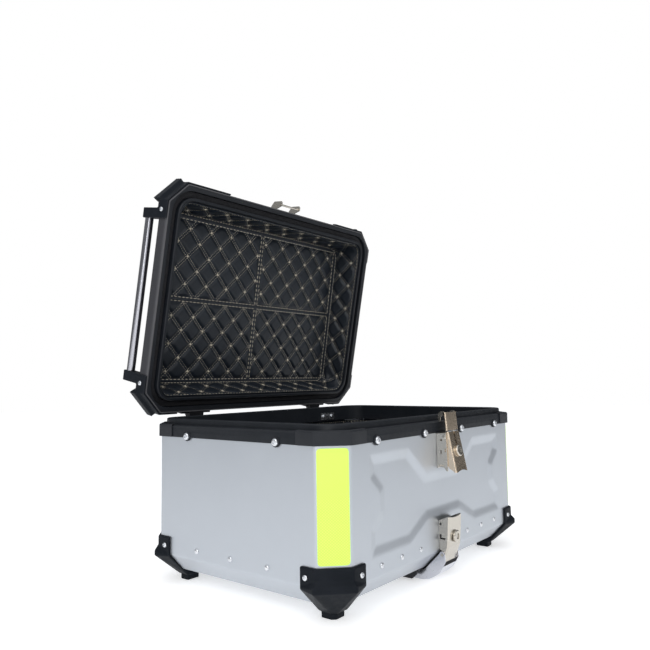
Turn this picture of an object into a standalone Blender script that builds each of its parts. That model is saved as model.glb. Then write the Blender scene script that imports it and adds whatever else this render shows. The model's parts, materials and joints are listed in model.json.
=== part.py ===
"""Motorcycle top case: aluminium tub with a hinged lid, a draw latch and a release lever.

Dimensions are in millimetres and become metres when a mesh is made. +X is the width, the latch
side faces -Y, +Z is up, and the origin is the centre of the tub's flat underside.
The lid's parts are drawn closed and turned about the hinge line to the open rest pose.
"""

import math

import bmesh
import bpy
from mathutils import Matrix, Vector

# ---------------------------------------------------------------- driving dimensions, mm
MM = 0.001
WIDTH = 508.0
DEPTH = 349.0
CHAMFER = 31.0
SHEET = 1.6
GAP = 0.3
MITRE = 2.0 - math.sqrt(2.0)

FOOT_Z = -18.0
CREASE_Z = 25.5
SKIRT_INSET = 24.0
WALL_TOP_Z = 202.0

RIM_PROUD = 1.5
RIM_Z = 190.0
SHELF_Z = 206.5
LIP_Z = 215.0

MATE_Z = 209.3
LID_CREASE_Z = 230.0
LID_TOP_Z = 270.0
LID_SLOPE = LID_TOP_Z - LID_CREASE_Z

HINGE_Y = 187.8
HINGE_Z = 208.2
HINGE_X = 150.0
HINGE_WIDTH = 60.0
LID_OPEN_DEG = 79.2

FRONT_Y = -DEPTH / 2
REAR_Y = DEPTH / 2
RIM_HX = WIDTH / 2 + RIM_PROUD
RIM_HY = DEPTH / 2 + RIM_PROUD

RAIL_X = 250.0
RAIL_Z = 260.5
RAIL_RADIUS = 6.3
ARM_INNER_Y = 118.0
ARM_OUTER_Y = 133.5
RAIL_SOCKET = 7.6
LID_CORNER_END = 190.0
LIP_END = 137.0

LEVER_AXIS = (-186.5, 183.5)
HOOK_AXIS = (-189.5, 174.0)
LEVER_TOP = (-192.8, 191.8)
LEVER_BOTTOM = (-204.9, 135.7)
LEVER_LOCK_Z = 164.5
TONGUE_HALF = 3.0

RELEASE_AXIS = (-179.5, 21.0)
RELEASE_LOCK_Z = 45.0

SCREW_Z = 192.0
RIM_SCREW_X = (54.0, 171.0)
REAR_SCREW_X = (45.0, 98.0)
RIM_SCREW_Y = 84.0

COLOURS = {
    "aluminium": ((0.72, 0.73, 0.75), 0.38, 1.0),
    "lid_paint": ((0.07, 0.07, 0.08), 0.45, 0.0),
    "black_plastic": ((0.035, 0.037, 0.04), 0.55, 0.0),
    "rubber": ((0.02, 0.02, 0.02), 0.8, 0.0),
    "liner": ((0.035, 0.037, 0.045), 0.6, 0.0),
    "stainless": ((0.62, 0.58, 0.53), 0.25, 1.0),
    "zinc": ((0.66, 0.67, 0.7), 0.35, 1.0),
    "black_steel": ((0.05, 0.05, 0.055), 0.45, 0.3),
    "reflector": ((0.72, 0.95, 0.08), 0.4, 0.0),
}


# ---------------------------------------------------------------- scene helpers
def clear_scene():
    for item in list(bpy.data.objects):
        bpy.data.objects.remove(item, do_unlink=True)


def make_material(name):
    colour, roughness, metallic = COLOURS[name]
    material = bpy.data.materials.new(name)
    material.use_nodes = True
    shader = material.node_tree.nodes["Principled BSDF"]
    shader.inputs["Base Color"].default_value = (*colour, 1.0)
    shader.inputs["Roughness"].default_value = roughness
    shader.inputs["Metallic"].default_value = metallic
    return material


def as_object(name, bm, origin=(0.0, 0.0, 0.0)):
    """Turn a bmesh in millimetres into an object in metres, with its origin at a given point."""
    bmesh.ops.translate(bm, verts=bm.verts, vec=-Vector(origin))
    bmesh.ops.scale(bm, verts=bm.verts, vec=(MM, MM, MM))
    bmesh.ops.recalc_face_normals(bm, faces=bm.faces)
    mesh = bpy.data.meshes.new(name)
    bm.to_mesh(mesh)
    bm.free()
    item = bpy.data.objects.new(name, mesh)
    item.location = Vector(origin) * MM
    bpy.context.scene.collection.objects.link(item)
    return item


def combine(target, tool, operation):
    """Apply an exact Boolean and remove the tool object."""
    modifier = target.modifiers.new("cut", "BOOLEAN")
    modifier.operation = operation
    modifier.solver = "EXACT"
    modifier.object = tool
    bpy.context.view_layer.update()
    evaluated = target.evaluated_get(bpy.context.evaluated_depsgraph_get())
    mesh = bpy.data.meshes.new_from_object(evaluated)
    target.modifiers.remove(modifier)
    target.data = mesh
    bpy.data.objects.remove(tool, do_unlink=True)
    return target


def union(first, *others):
    for other in others:
        combine(first, other, "UNION")
    return first


def subtract(first, *others):
    for other in others:
        combine(first, other, "DIFFERENCE")
    return first


def finish(item, material, smooth_angle=None):
    """Name the mesh after its object, tidy it and give it its material."""
    mesh = item.data
    mesh.name = item.name
    bm = bmesh.new()
    bm.from_mesh(mesh)
    bmesh.ops.remove_doubles(bm, verts=bm.verts, dist=1e-6)
    bmesh.ops.dissolve_degenerate(bm, edges=bm.edges, dist=1e-6)
    bm.to_mesh(mesh)
    bm.free()
    mesh.materials.clear()
    mesh.materials.append(MATERIALS[material])
    if smooth_angle is not None:
        mesh.shade_smooth()
        mesh.set_sharp_from_angle(angle=math.radians(smooth_angle))
    return item


def mirrored(item, name, flip_x=False, flip_y=False):
    """A mirror image of an object whose origin is the world origin."""
    bm = bmesh.new()
    bm.from_mesh(item.data)
    sign = Vector((-1.0 if flip_x else 1.0, -1.0 if flip_y else 1.0, 1.0))
    bmesh.ops.scale(bm, verts=bm.verts, vec=sign)
    if flip_x != flip_y:
        bmesh.ops.reverse_faces(bm, faces=bm.faces)
    mesh = bpy.data.meshes.new(name)
    bm.to_mesh(mesh)
    bm.free()
    copy = bpy.data.objects.new(name, mesh)
    copy.location = Vector((item.location.x * sign.x, item.location.y * sign.y, item.location.z))
    bpy.context.scene.collection.objects.link(copy)
    mesh.materials.clear()
    mesh.materials.append(item.data.materials[0])
    return copy


# ---------------------------------------------------------------- outlines and solids
def octagon(offset):
    """Plan outline of the case moved outwards by offset, eight corners, counter-clockwise."""
    hx = WIDTH / 2 + offset
    hy = DEPTH / 2 + offset
    leg = CHAMFER + MITRE * offset
    return [
        (hx, -hy + leg), (hx, hy - leg),
        (hx - leg, hy), (-hx + leg, hy),
        (-hx, hy - leg), (-hx, -hy + leg),
        (-hx + leg, -hy), (hx - leg, -hy),
    ]


def octagon_fine(offset, steps):
    """The octagon with each chamfer cut into equal steps, to match a rounded outline."""
    corners = octagon(offset)
    points = []
    for start in (1, 3, 5, 7):
        a = Vector(corners[start])
        b = Vector(corners[(start + 1) % 8])
        points += [tuple(a.lerp(b, i / steps)) for i in range(steps + 1)]
    return points


def rounded(hx, hy, radius, steps):
    """Rounded rectangle whose corners start at the rear right, counter-clockwise."""
    points = []
    for turn, (sx, sy) in enumerate(((1, 1), (-1, 1), (-1, -1), (1, -1))):
        cx = sx * (hx - radius)
        cy = sy * (hy - radius)
        for i in range(steps + 1):
            angle = math.pi / 2 * (turn + i / steps)
            points.append((cx + radius * math.cos(angle), cy + radius * math.sin(angle)))
    return points


def stack(rings, closed):
    """Bridge a list of (outline, z) rings; closed joins the last ring to the first."""
    bm = bmesh.new()
    rows = [[bm.verts.new((x, y, z)) for x, y in outline] for outline, z in rings]
    count = len(rows[0])
    pairs = list(zip(rows, rows[1:]))
    if closed:
        pairs.append((rows[-1], rows[0]))
    for low, high in pairs:
        for i in range(count):
            j = (i + 1) % count
            bm.faces.new((low[i], low[j], high[j], high[i]))
    if not closed:
        bm.faces.new(list(reversed(rows[0])))
        bm.faces.new(rows[-1])
    return bm


def extruded(profile, low, high, place):
    """Prism of a 2-D profile between two levels; place maps (u, v, level) to a point."""
    bm = bmesh.new()
    bottom = [bm.verts.new(place(u, v, low)) for u, v in profile]
    top = [bm.verts.new(place(u, v, high)) for u, v in profile]
    count = len(profile)
    for i in range(count):
        j = (i + 1) % count
        bm.faces.new((bottom[i], bottom[j], top[j], top[i]))
    bm.faces.new(list(reversed(bottom)))
    bm.faces.new(top)
    return bm


def side_plate(name, profile, x_low, x_high, origin=(0.0, 0.0, 0.0)):
    """Prism along X of a profile drawn in (y, z)."""
    return as_object(name, extruded(profile, x_low, x_high, lambda y, z, x: (x, y, z)), origin)


def front_plate(name, profile, y_low, y_high, origin=(0.0, 0.0, 0.0)):
    """Prism along Y of a profile drawn in (x, z)."""
    return as_object(name, extruded(profile, y_low, y_high, lambda x, z, y: (x, y, z)), origin)


def block(name, low, high, origin=(0.0, 0.0, 0.0)):
    profile = [(low[0], low[1]), (high[0], low[1]), (high[0], high[1]), (low[0], high[1])]
    return as_object(name, extruded(profile, low[2], high[2], lambda x, y, z: (x, y, z)), origin)


def rod(name, start, end, radius, segments=16, origin=(0.0, 0.0, 0.0)):
    """Round bar between two points."""
    a = Vector(start)
    b = Vector(end)
    turn = (b - a).to_track_quat("Z", "Y").to_matrix().to_4x4()
    bm = bmesh.new()
    bmesh.ops.create_cone(
        bm, cap_ends=True, segments=segments, radius1=radius, radius2=radius,
        depth=(b - a).length, matrix=Matrix.Translation((a + b) / 2) @ turn,
    )
    return as_object(name, bm, origin)


def turned(name, profile, base, direction, segments=16, origin=(0.0, 0.0, 0.0)):
    """Solid of revolution; profile is (radius, height) from the base outwards, closed on the axis."""
    bm = bmesh.new()
    rows = []
    for radius, height in profile:
        if radius == 0.0:
            rows.append([bm.verts.new((0.0, 0.0, height))])
            continue
        angles = [2 * math.pi * i / segments for i in range(segments)]
        rows.append([
            bm.verts.new((radius * math.cos(a), radius * math.sin(a), height)) for a in angles
        ])
    for low, high in zip(rows, rows[1:]):
        for i in range(segments):
            j = (i + 1) % segments
            corners = [low[i % len(low)], low[j % len(low)], high[j % len(high)], high[i % len(high)]]
            unique = list(dict.fromkeys(corners))
            bm.faces.new(unique)
    turn = Vector(direction).to_track_quat("Z", "Y").to_matrix().to_4x4()
    bm.transform(Matrix.Translation(base) @ turn)
    return as_object(name, bm, origin)


def hull(name, points):
    bm = bmesh.new()
    for point in points:
        bm.verts.new(point)
    result = bmesh.ops.convex_hull(bm, input=bm.verts)
    spare = set(result["geom_interior"] + result["geom_unused"])
    loose = [vert for vert in bm.verts if vert in spare]
    bmesh.ops.delete(bm, geom=loose, context="VERTS")
    return as_object(name, bm)


def inset_polygon(points, distance):
    """Move every edge of a polygon inwards by distance (outwards if negative)."""
    area = sum(a[0] * b[1] - b[0] * a[1] for a, b in zip(points, points[1:] + points[:1]))
    side = 1.0 if area > 0 else -1.0
    result = []
    for before, here, after in zip(points[-1:] + points[:-1], points, points[1:] + points[:1]):
        e0 = (Vector(here) - Vector(before)).normalized()
        e1 = (Vector(after) - Vector(here)).normalized()
        n0 = Vector((-e0.y, e0.x)) * side
        n1 = Vector((-e1.y, e1.x)) * side
        move = (n0 + n1) / (1.0 + n0.dot(n1)) * distance
        result.append((here[0] + move.x, here[1] + move.y))
    return result


def arc(centre, radius, start_deg, end_deg, steps):
    """Points on an arc in a plane, both ends included."""
    points = []
    for i in range(steps + 1):
        angle = math.radians(start_deg + (end_deg - start_deg) * i / steps)
        points.append((centre[0] + radius * math.cos(angle), centre[1] + radius * math.sin(angle)))
    return points


# ---------------------------------------------------------------- tub
RELIEF_HALF = [
    (47.0, 135.5), (94.0, 174.0), (184.0, 174.0), (184.0, 147.0), (162.0, 125.5),
    (162.0, 103.5), (184.0, 84.0), (184.0, 51.5), (93.0, 51.5), (45.0, 75.0),
]
RELIEF_DEPTH = 2.5
RELIEF_BEVEL = 11.0


def relief_outline():
    return RELIEF_HALF + [(-x, z) for x, z in reversed(RELIEF_HALF)]


def relief_prism(name, outer_inset, outer_y, inner_inset, inner_y):
    """Tapered slab in the shape of the front stamping."""
    outline = relief_outline()
    bm = bmesh.new()
    near = [bm.verts.new((x, outer_y, z)) for x, z in inset_polygon(outline, outer_inset)]
    far = [bm.verts.new((x, inner_y, z)) for x, z in inset_polygon(outline, inner_inset)]
    count = len(near)
    for i in range(count):
        j = (i + 1) % count
        bm.faces.new((near[i], near[j], far[j], far[i]))
    bm.faces.new(near)
    bm.faces.new(list(reversed(far)))
    return as_object(name, bm)


def make_body_shell():
    floor_inner = -SKIRT_INSET - SHEET * math.tan(math.pi / 8)
    shell = as_object("body_shell", stack([
        (octagon(-SKIRT_INSET), 0.0),
        (octagon(0.0), CREASE_Z),
        (octagon(0.0), WALL_TOP_Z),
        (octagon(-SHEET), WALL_TOP_Z),
        (octagon(-SHEET), CREASE_Z + SHEET * math.tan(math.pi / 8)),
        (octagon(floor_inner), SHEET),
    ], closed=False))
    wall_inner = FRONT_Y + SHEET
    boss = relief_prism("boss", 0.0, wall_inner - 0.8, RELIEF_BEVEL, wall_inner + RELIEF_DEPTH)
    overshoot = 0.5
    rise = RELIEF_BEVEL * overshoot / RELIEF_DEPTH
    cutter = relief_prism("cutter", -rise, FRONT_Y - overshoot, RELIEF_BEVEL, FRONT_Y + RELIEF_DEPTH)
    union(shell, boss)
    subtract(shell, cutter)
    finish(shell, "aluminium")


def make_floor_pan():
    thickness = 1.2
    out = -SHEET - GAP
    base = SHEET + GAP
    corner = 27.0
    pan = as_object("floor_pan", stack([
        (octagon(-SKIRT_INSET - 1.3), base),
        (octagon(out), corner),
        (octagon(out), 47.0),
        (octagon(out - thickness), 47.0),
        (octagon(out - thickness), corner + 0.5),
        (octagon(-SKIRT_INSET - 1.8), base + thickness),
    ], closed=False))
    finish(pan, "aluminium")


def make_body_liner():
    outer = 5.2
    thickness = 6.0
    liner = as_object("body_liner", stack([
        (octagon(-28.5), 4.2),
        (octagon(-outer), 30.0),
        (octagon(-outer), 186.0),
        (octagon(-outer - thickness), 186.0),
        (octagon(-outer - thickness), 33.0),
        (octagon(-34.0), 10.2),
    ], closed=False))
    finish(liner, "liner")


LIP_STEPS = 6


def ring_outline(kind, *size):
    if kind == "oct":
        return octagon_fine(size[0], LIP_STEPS)
    return rounded(*size, LIP_STEPS)


def make_rim_frame():
    slot_out = GAP
    slot_in = -SHEET - GAP
    inner_z = 188.0
    frame = as_object("rim_frame", stack([
        (ring_outline("oct", RIM_PROUD), RIM_Z),
        (ring_outline("oct", RIM_PROUD), SHELF_Z - 1.5),
        (ring_outline("oct", 0.0), SHELF_Z),
        (ring_outline("round", 245.2, 165.8, 34.0), SHELF_Z),
        (ring_outline("round", 245.0, 165.6, 34.0), LIP_Z - 1.4),
        (ring_outline("round", 243.6, 164.2, 32.6), LIP_Z),
        (ring_outline("round", 239.4, 160.0, 28.4), LIP_Z),
        (ring_outline("round", 238.0, 158.6, 27.0), LIP_Z - 1.4),
        (ring_outline("round", 238.0, 158.6, 27.0), inner_z),
        (ring_outline("oct", slot_in), inner_z),
        (ring_outline("oct", slot_in), WALL_TOP_Z + GAP),
        (ring_outline("oct", slot_out), WALL_TOP_Z + GAP),
        (ring_outline("oct", slot_out), RIM_Z),
    ], closed=True))
    for x, y, nx, ny in rim_screw_places():
        start = (x - nx * (RIM_PROUD - GAP), y - ny * (RIM_PROUD - GAP), SCREW_Z)
        end = (x + nx * 1.2, y + ny * 1.2, SCREW_Z)
        union(frame, rod("boss", start, end, 6.5, segments=14))
    finish(frame, "black_plastic", 35)


def rim_screw_places():
    """Point on the rim's outer face and outward direction of each rim screw."""
    places = []
    for side in (-1, 1):
        places += [(side * x, -RIM_HY, 0, -1) for x in RIM_SCREW_X]
        places += [(side * x, RIM_HY, 0, 1) for x in REAR_SCREW_X]
    for y in (-RIM_SCREW_Y, RIM_SCREW_Y):
        places.append((-RIM_HX, y, -1, 0))
        places.append((RIM_HX, y, 1, 0))
    return places


def make_rim_screws():
    for number, (x, y, nx, ny) in enumerate(rim_screw_places(), start=1):
        base = (x + nx * 1.5, y + ny * 1.5, SCREW_Z)
        screw = turned(f"rim_screw_{number:02d}", [
            (0.0, 0.0), (4.9, 0.0), (4.9, 0.8), (3.6, 2.4), (1.7, 2.8), (1.5, 1.2), (0.0, 1.2),
        ], base, (nx, ny, 0), segments=10)
        finish(screw, "zinc", 30)


def corner_path(offset, side_end, front_end):
    """Plan points round the front left corner: side wing end, two chamfer ends, front wing end."""
    hx = WIDTH / 2 + offset
    hy = DEPTH / 2 + offset
    leg = CHAMFER + MITRE * offset
    return [(-hx, -side_end), (-hx, -hy + leg), (-hx + leg, -hy), (-front_end, -hy)]


def corner_band(name, profile, side_end, front_end):
    """Sweep a profile of (outward offset, z) round the front left corner."""
    bm = bmesh.new()
    stations = [[] for _ in range(4)]
    for offset, z in profile:
        for station, (x, y) in zip(stations, corner_path(offset, side_end, front_end)):
            station.append(bm.verts.new((x, y, z)))
    count = len(profile)
    for a, b in zip(stations, stations[1:]):
        for i in range(count):
            j = (i + 1) % count
            bm.faces.new((a[i], a[j], b[j], b[i]))
    bm.faces.new(list(reversed(stations[0])))
    bm.faces.new(stations[-1])
    return as_object(name, bm)


def chamfer_point(offset, along, z):
    """Point near the front left chamfer: outward offset, distance along it from its middle."""
    mid = Vector((-WIDTH / 2 + CHAMFER / 2, -DEPTH / 2 + CHAMFER / 2))
    outward = Vector((-1.0, -1.0)).normalized()
    tangent = Vector((1.0, -1.0)).normalized()
    spot = mid + outward * offset + tangent * along
    return (spot.x, spot.y, z)


CORNERS = (
    ("front_left", False, False), ("front_right", True, False),
    ("rear_left", False, True), ("rear_right", True, True),
)


def make_four(item, stem):
    """Rename a front left piece and add its three mirror images."""
    item.name = f"{stem}_front_left"
    item.data.name = item.name
    for label, flip_x, flip_y in CORNERS[1:]:
        mirrored(item, f"{stem}_{label}", flip_x, flip_y)


def make_rim_caps():
    out = RIM_PROUD + GAP
    cap = corner_band("rim_cap", [
        (out, RIM_Z), (out + 1.4, RIM_Z), (out + 1.4, 206.4), (out + 0.2, 208.0),
        (-3.6, 208.0), (-3.6, SHELF_Z + GAP), (out, SHELF_Z + GAP),
    ], side_end=117.0, front_end=194.0)
    make_four(finish(cap, "black_plastic"), "rim_cap")


def make_corner_guards():
    thick = 3.4
    wing_low = 24.6
    band = corner_band("guard", [
        (0.0, wing_low), (thick, wing_low), (thick, 48.8), (thick - 1.5, 50.3), (0.0, 50.3),
    ], side_end=121.8, front_end=200.3)
    bumper = hull("bumper", [
        chamfer_point(thick, -22.0, 35.5), chamfer_point(thick, 22.0, 35.5),
        chamfer_point(8.4, -26.5, 29.5), chamfer_point(8.4, 26.5, 29.5),
        chamfer_point(8.4, -26.5, 23.0), chamfer_point(8.4, 26.5, 23.0),
        (-WIDTH / 2 - thick, -121.8, 26.0), (-200.3, -DEPTH / 2 - thick, 26.0),
        (-WIDTH / 2 - thick, -121.8, 24.0), (-200.3, -DEPTH / 2 - thick, 24.0),
        (-222.5, -122.0, -10.0), (-199.0, -147.5, -10.0),
        (-223.0, -140.5, -10.0), (-218.0, -147.0, -10.0),
        (-199.0, -122.0, -10.0), (-199.0, -122.0, -2.0),
    ])
    foot = hull("foot", [
        (x, y, z) for z in (-9.0, FOOT_Z)
        for x, y in ((-200.5, -123.5), (-220.5, -123.5), (-220.5, -139.5),
                     (-216.0, -144.5), (-200.5, -144.5))
    ])
    union(band, bumper, foot)
    tub = as_object("tub", stack([
        (octagon(-SKIRT_INSET - 12.0), -GAP - 0.001),
        (octagon(-SKIRT_INSET + 0.1), -GAP),
        (octagon(GAP), CREASE_Z - 0.1),
        (octagon(GAP), WALL_TOP_Z),
    ], closed=False))
    subtract(band, tub)
    make_four(finish(band, "black_plastic"), "corner_guard")


def make_reflectors():
    half = 19.3
    low = 52.3
    high = 187.0
    radius = 4.0
    profile = []
    for cx, cz, start in ((half, high, 0), (-half, high, 90), (-half, low, 180), (half, low, 270)):
        sx = math.copysign(radius, cx)
        sz = radius if cz == low else -radius
        profile += arc((cx - sx, cz + sz), radius, start, start + 90, 3)
    sheet = as_object("reflector_left", extruded(
        profile, GAP, GAP + 0.5, lambda along, z, offset: chamfer_point(offset, along, z)))
    finish(sheet, "reflector")
    mirrored(sheet, "reflector_right", flip_x=True)


# ---------------------------------------------------------------- hinges
def hinge_spans():
    half = HINGE_WIDTH / 2
    third = HINGE_WIDTH / 4
    return (-half, -half + third), (-half + third + 0.4, half - third - 0.4), (half - third, half)


def make_hinge(side, label, lid_parts):
    centre = side * HINGE_X
    axis = (HINGE_Y, HINGE_Z)
    left, middle, right = hinge_spans()
    face = RIM_HY + GAP
    base = block(f"hinge_base_{label}", (centre + left[0], face, 172.0), (centre + right[1], face + 4.0, 203.0))
    arm = [(face, 203.0), (face, 192.0), (face + 4.0, 192.0)] + arc(axis, 5.0, -35, 160, 9) + [(face + 4.0, 203.0)]
    for low, high in (left, right):
        union(base, side_plate("arm", arm, centre + low, centre + high))
    subtract(base, rod("bore", (centre - 40, *axis), (centre + 40, *axis), 2.56, segments=16))
    finish(base, "black_steel", 30)

    pin = rod(f"hinge_pin_{label}", (centre - 31, *axis), (centre + 31, *axis), 2.45, segments=16)
    finish(pin, "stainless", 30)

    leaf = block(f"hinge_leaf_{label}", (centre + left[0], face, 213.6), (centre + right[1], face + 3.6, 228.0))
    web = [(face, 226.0), (face, 211.4)] + arc(axis, 5.0, 140, 360, 10) + [(190.5, 215.5), (face + 3.6, 226.0)]
    union(leaf, side_plate("arm", web, centre + middle[0], centre + middle[1]))
    subtract(leaf, rod("bore", (centre - 40, *axis), (centre + 40, *axis), 2.56, segments=16))
    lid_parts.append(finish(leaf, "black_steel", 30))

    inner_face = 158.6 - GAP
    plate = block(f"hinge_backing_{label}", (centre - 20, inner_face - 1.6, 190.0), (centre + 20, inner_face, 203.0))
    for x in (-12, 12):
        screw = rod("head", (centre + x, inner_face - 0.8, 197.0), (centre + x, inner_face - 4.4, 197.0), 3.6, 10)
        union(plate, screw)
    finish(plate, "zinc", 30)


# ---------------------------------------------------------------- top latch
def lever_line(z, inward=0.0):
    """Y of the lever's outer face at a height, moved inwards by a thickness."""
    slope = (LEVER_BOTTOM[0] - LEVER_TOP[0]) / (LEVER_TOP[1] - LEVER_BOTTOM[1])
    return LEVER_TOP[0] + slope * (LEVER_TOP[1] - z) + inward


def make_latch_base():
    back = FRONT_Y - GAP
    plate = block("latch_base", (-18.5, back - 1.5, 141.0), (18.5, back, 189.2))
    flange = [(back, 143.5), (back, 189.2), (-190.0, 190.3), (-191.2, 160.0), (-191.6, 137.0),
              (-189.5, 137.0), (-186.0, 141.5)]
    for x in (-18.5, 17.0):
        union(plate, side_plate("flange", flange, x, x + 1.5))
    subtract(plate, rod("bore", (-30, *LEVER_AXIS), (30, *LEVER_AXIS), 2.1, segments=12))
    finish(plate, "stainless", 30)
    for side, label in ((-1, "left"), (1, "right")):
        base = (side * 15.0, *LEVER_AXIS)
        rivet = turned(f"latch_rivet_{label}", [
            (0.0, 0.0), (2.0, 0.0), (2.0, 3.8), (3.3, 3.8), (2.6, 5.0), (0.0, 5.4),
        ], base, (side, 0, 0), segments=12)
        finish(rivet, "stainless", 30)


def make_latch_lever():
    origin = (0.0, *LEVER_AXIS)
    half = 16.7
    skin = 1.5
    low = LEVER_BOTTOM[1]
    top = LEVER_TOP[1]
    plate = side_plate("latch_lever", [
        (lever_line(low), low), (lever_line(top), top),
        (lever_line(top, skin), top), (lever_line(low, skin), low),
    ], -half, half, origin)
    ear = [
        (lever_line(190.5, 0.8), 190.5), (lever_line(190.5, 4.5), 190.5),
        (-184.2, 186.2), (-183.4, 183.5), (-184.2, 181.0), (-186.2, 175.5), (-186.8, 170.0),
        (-188.0, 160.0), (-190.0, 147.0), (-193.5, 140.5), (-198.0, 138.4),
        (lever_line(138.4, 0.8), 138.4),
    ]
    for x in (-half, half - 1.5):
        union(plate, side_plate("ear", ear, x, x + 1.5, origin))
    subtract(plate, rod("bore", (-30, *LEVER_AXIS), (30, *LEVER_AXIS), 2.1, 12, origin))
    subtract(plate, rod("bore", (-30, *HOOK_AXIS), (30, *HOOK_AXIS), 1.6, 12, origin))
    bite = rod("bite", (0.0, -215.0, 96.0), (0.0, -185.0, 102.5), 40.0, 64, origin)
    subtract(plate, bite)
    slot_low = LEVER_LOCK_Z + 9.0
    slot = block("slot", (-TONGUE_HALF - 0.5, -210.0, slot_low), (TONGUE_HALF + 0.5, -190.5, top + 5.0), origin)
    subtract(plate, slot)
    lock = (0.0, lever_line(LEVER_LOCK_Z), LEVER_LOCK_Z)
    out = lever_normal()
    hole = rod("hole", Vector(lock) + out * 5, Vector(lock) - out * 5, 5.2, 16, origin)
    subtract(plate, hole)
    finish(plate, "stainless", 30)

    pin = rod("hook_pin", (-half, *HOOK_AXIS), (half, *HOOK_AXIS), 1.5, 12, origin)
    finish(pin, "stainless", 30)

    barrel = turned("lever_lock_barrel", [
        (4.0, -9.0), (4.9, -9.0), (4.9, GAP), (8.0, GAP), (8.0, 2.6), (7.0, 3.8), (4.0, 3.8), (4.0, -9.0),
    ], lock, out, segments=20, origin=origin)
    finish(barrel, "stainless", 30)
    make_plug("lever_lock_plug", lock, out)


def lever_normal():
    along = Vector((0.0, LEVER_BOTTOM[0] - LEVER_TOP[0], LEVER_BOTTOM[1] - LEVER_TOP[1])).normalized()
    return Vector((0.0, along.z, -along.y)).normalized()


def make_plug(name, seat, out):
    """Key plug with its slot, turning about the lock's axis; the origin is on that axis."""
    plug = turned(name, [
        (0.0, -8.6), (3.7, -8.6), (3.7, 3.4), (0.0, 3.4),
    ], seat, out, segments=16, origin=seat)
    across = Vector((1.0, 0.0, 0.0))
    up = out.cross(across)
    corners = []
    for a in (-0.6, 0.6):
        for b in (-2.6, 2.6):
            for c in (0.9, 5.0):
                corners.append(Vector(seat) + across * a + up * b + out * c)
    slot = hull("slot", corners)
    subtract(plug, slot)
    finish(plug, "stainless", 30)


def make_latch_hook():
    origin = (0.0, *HOOK_AXIS)
    tongue = [(-190.3, 174.0), (-191.9, 192.0), (-191.5, 197.0), (-189.9, 197.0), (-190.3, 192.0), (-188.7, 174.0)]
    hook = side_plate("latch_hook", tongue, -TONGUE_HALF, TONGUE_HALF, origin)
    union(hook, rod("eye", (-12.5, *HOOK_AXIS), (12.5, *HOOK_AXIS), 3.0, 14, origin))
    web = [(-191.8, 193.4), (-189.2, 219.0), (-187.6, 219.0), (-190.2, 193.4)]
    union(hook, side_plate("web", web, -16.5, 16.5, origin))
    cheek = [
        (-191.4, 196.0), (-189.2, 219.0), (-186.5, 220.6), (-181.5, 220.4), (-178.2, 218.2),
        (-177.0, 214.5), (-177.1, 207.5), (-179.0, 205.8), (-181.0, 207.0), (-181.6, 212.6),
        (-183.4, 214.2), (-185.6, 213.8), (-186.9, 211.8), (-187.6, 204.0), (-188.6, 196.0),
    ]
    for x in (-16.5, 15.0):
        union(hook, side_plate("cheek", cheek, x, x + 1.5, origin))
    subtract(hook, rod("bore", (-30, *HOOK_AXIS), (30, *HOOK_AXIS), 1.56, 12, origin))
    finish(hook, "stainless", 30)


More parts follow.
